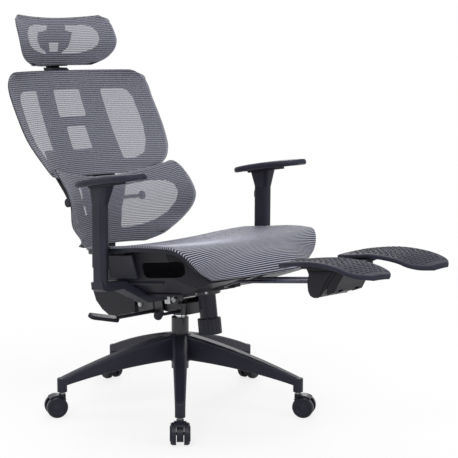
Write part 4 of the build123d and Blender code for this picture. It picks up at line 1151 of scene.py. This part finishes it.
screw_head = socket_screw(radius=0.0034, height=0.0022)
big_head = socket_screw(radius=0.0066, height=0.0040)
strap = strap_piece(width=0.026, height=0.036, thick=0.0018, swell=0.0035)
flank = raised_panel(length=0.066, height=0.038, rise=0.0026, rim=0.006, sink=0.0010)
for side, name in ((-1, "right"), (1, "left")):
    for tag, y, z in PIVOT_PLACES:
        at = flange_matrix(side, y, z, FLANGE_X + PIVOT_PROUD)
        placed_copy(big_head, f"pivot_cap_{tag}_{name}", at, bolt_steel, "seat")
    at = flange_matrix(side, y=0, z=330, out=FLANGE_X + STRAP_PROUD)
    placed_copy(strap, f"steel_strap_{name}", at, bolt_steel, "seat")
    at = flange_matrix(side, y=96, z=308, out=FLANGE_X - PLATE_SINK)
    placed_copy(flank, f"flank_plate_{name}", at, mech_black, "seat")
    for index, turn in enumerate(NOSE_TURNS):
        around = Vector((side * math.cos(math.radians(turn)), math.sin(math.radians(turn)), 0))
        spot = around * (NOSE_RADIUS - NOSE_SINK)
        axis = tipped(*around) - tipped(0, 0, 0)
        at = turned(tipped(spot.x, NOSE_MIDDLE + spot.y, NOSE_LEVEL), axis)
        screw_name = f"nose_screw_{name}_{index + 1}"
        placed_copy(screw_head, screw_name, at, bolt_steel, "seat")
for pattern in (screw_head, big_head, strap, flank):
    print("hardware faces:", len(pattern.data.polygons))
    discard(pattern)

# %% [markdown]
# ## Covers of the foot bracket
# The flank of the foot bracket is a smooth cover behind and a slim rib in front, with a dark
# curved slot between them. Each is a grid whose rows are moved in edit mode to their rear and
# front edges, and which is then thickened. Cutting the curve out of a plate would do as well,
# but rows keep it in a short table.

# %% Foot bracket covers
CHEEK_OUT = 51.3
FLIP = (-592.0, 358.0)


def cover_piece(rows, thick):
    """A flat cover through rows of (height, rear edge, front edge), thickened on both sides."""
    bpy.ops.object.select_all(action="DESELECT")
    bpy.ops.mesh.primitive_grid_add(x_subdivisions=4, y_subdivisions=len(rows) - 1, size=1)
    cover = bpy.context.active_object
    bpy.ops.object.mode_set(mode="EDIT")
    edit = bmesh.from_edit_mesh(cover.data)
    for vertex in edit.verts:
        height, rear, front = rows[round((vertex.co.y + 0.5) * (len(rows) - 1))]
        share = vertex.co.x + 0.5
        vertex.co = Vector((rear + (front - rear) * share, height, 0)) * 0.001
    bmesh.update_edit_mesh(cover.data)
    bpy.ops.object.mode_set(mode="OBJECT")
    wall = cover.modifiers.new("wall", "SOLIDIFY")
    wall.thickness = thick
    wall.offset = 0
    bpy.ops.object.modifier_apply(modifier="wall")
    return bevelled(cover, thick * 0.3)


COVER_ROWS = [
    (-23, 6, -9),
    (-18, 16, -14),
    (-6, 23, -22),
    (8, 23, -32),
    (20, 19, -42),
    (32, 16, -54),
    (44, 18, -68),
]
RIB_ROWS = [(0, -34, -38), (10, -41, -46), (20, -50, -55), (32, -62, -68), (44, -77, -83)]
COVER_THICK = 0.004
cover = cover_piece(COVER_ROWS, COVER_THICK)
rib = cover_piece(RIB_ROWS, COVER_THICK)
for side, name in ((-1, "right"), (1, "left")):
    at = laid((side * CHEEK_OUT, *FLIP), ((0, 1, 0), (0, 0, 1), (1, 0, 0)))
    placed_copy(cover, f"foot_cover_{name}", at, frame_black, "foot_pads")
    placed_copy(rib, f"foot_rib_{name}", at, frame_black, "foot_pads")
for pattern in (cover, rib):
    print("foot bracket cover faces:", len(pattern.data.polygons))
    discard(pattern)

# %% [markdown]
# ## A material for every CAD node
# The record names a slot for each node. The same names pick the finishes made above, so no
# surface is left in the plain colour that the frame arrived with. Only the spring can differs
# from its slot: it is glossier, and its colour is painted lighter, as a painted reflection.

# %% CAD materials
FINISHES = dict(
    base_nylon=base_nylon, tube_black=tube_black, piston_steel=piston_steel,
    steel_dark=steel_dark, caster_nylon=caster_nylon, wheel_nylon=wheel_nylon,
    mech_black=mech_black, bolt_steel=bolt_steel, knob_black=knob_black,
    lever_black=lever_black, mesh_grey=mesh_back, frame_black=frame_black,
    shell_black=shell_black, arm_black=arm_black, pad_soft=pad_soft,
    footpad_black=footpad_black, rod_black=rod_black, pin_steel=pin_steel,
)
for entry in frame["record"]["subparts"]:
    node = nodes[entry["node"]]
    # The spring can takes its own finish, whose lighter colour is a painted reflection.
    finish = can_black_painted_reflection if entry["node"] == "spring_can" else FINISHES[entry["material_slot"]]
    node.data.materials.clear()
    node.data.materials.append(finish)
    for slot in node.material_slots:
        slot.link = "OBJECT"
        slot.material = finish

# %% [markdown]
# ## Floor and background
# A white studio: the floor is pale and keeps the chair's soft shadow, which fades away from the
# chair because more of the floor's own glow is mixed in there for the camera. The world is white
# where the camera or a reflection sees it, and dimmer where it lights the chair. Stronger lamps
# would also whiten the background, but they would bleach the chair and its shadow.

# %% Floor and world
FLOOR_GREY = 0.88
GLOW_NEAR, GLOW_ADDED = 0.80, 0.20
FADE_START, FADE_END = 0.6, 6.0
SKY_POWER = 0.42
bpy.ops.object.select_all(action="DESELECT")
bpy.ops.mesh.primitive_plane_add(size=30, location=(0, 0, 0))
floor = bpy.context.active_object
floor.name = "studio_floor"
floor_bench = Bench("studio_floor", Roughness=0.9)
floor_bench.shader.inputs["Base Color"].default_value = (FLOOR_GREY, FLOOR_GREY, FLOOR_GREY, 1)
glow = floor_bench.add("ShaderNodeEmission", None, {"Color": (1, 1, 1, 1), "Strength": 1.0})
seen = floor_bench.add("ShaderNodeLightPath", out="Is Camera Ray")
plain = Flow(floor_bench, floor_bench.shader.outputs[0])
spot = floor_bench.place()
east, north = floor_bench.part(spot, 0), floor_bench.part(spot, 1)
far = (east * east + north * north).ramp(FADE_START, FADE_END)
share = seen * (GLOW_NEAR + far * GLOW_ADDED)
floor_mix = floor_bench.add("ShaderNodeMixShader", None, {0: share, 1: plain, 2: glow})
floor_bench.tree.links.new(floor_mix.socket, floor_bench.output.inputs[0])
floor.data.materials.append(floor_bench.material)

world = bpy.data.worlds.new("studio_world")
bpy.context.scene.world = world
world.use_nodes = True
sky = world.node_tree
sky.nodes.clear()
sky_out = sky.nodes.new("ShaderNodeOutputWorld")
sky_light = sky.nodes.new("ShaderNodeBackground")
sky_seen = sky.nodes.new("ShaderNodeBackground")
sky_mix = sky.nodes.new("ShaderNodeMixShader")
sky_rays = sky.nodes.new("ShaderNodeLightPath")
sky_any = sky.nodes.new("ShaderNodeMath")
sky_any.operation = "MAXIMUM"
sky_light.inputs["Strength"].default_value = SKY_POWER
sky_light.inputs["Color"].default_value = (1, 1, 1, 1)
sky_seen.inputs["Color"].default_value = (1, 1, 1, 1)
sky.links.new(sky_rays.outputs["Is Camera Ray"], sky_any.inputs[0])
sky.links.new(sky_rays.outputs["Is Glossy Ray"], sky_any.inputs[1])
sky.links.new(sky_any.outputs[0], sky_mix.inputs[0])
sky.links.new(sky_light.outputs[0], sky_mix.inputs[1])
sky.links.new(sky_seen.outputs[0], sky_mix.inputs[2])
sky.links.new(sky_mix.outputs[0], sky_out.inputs[0])
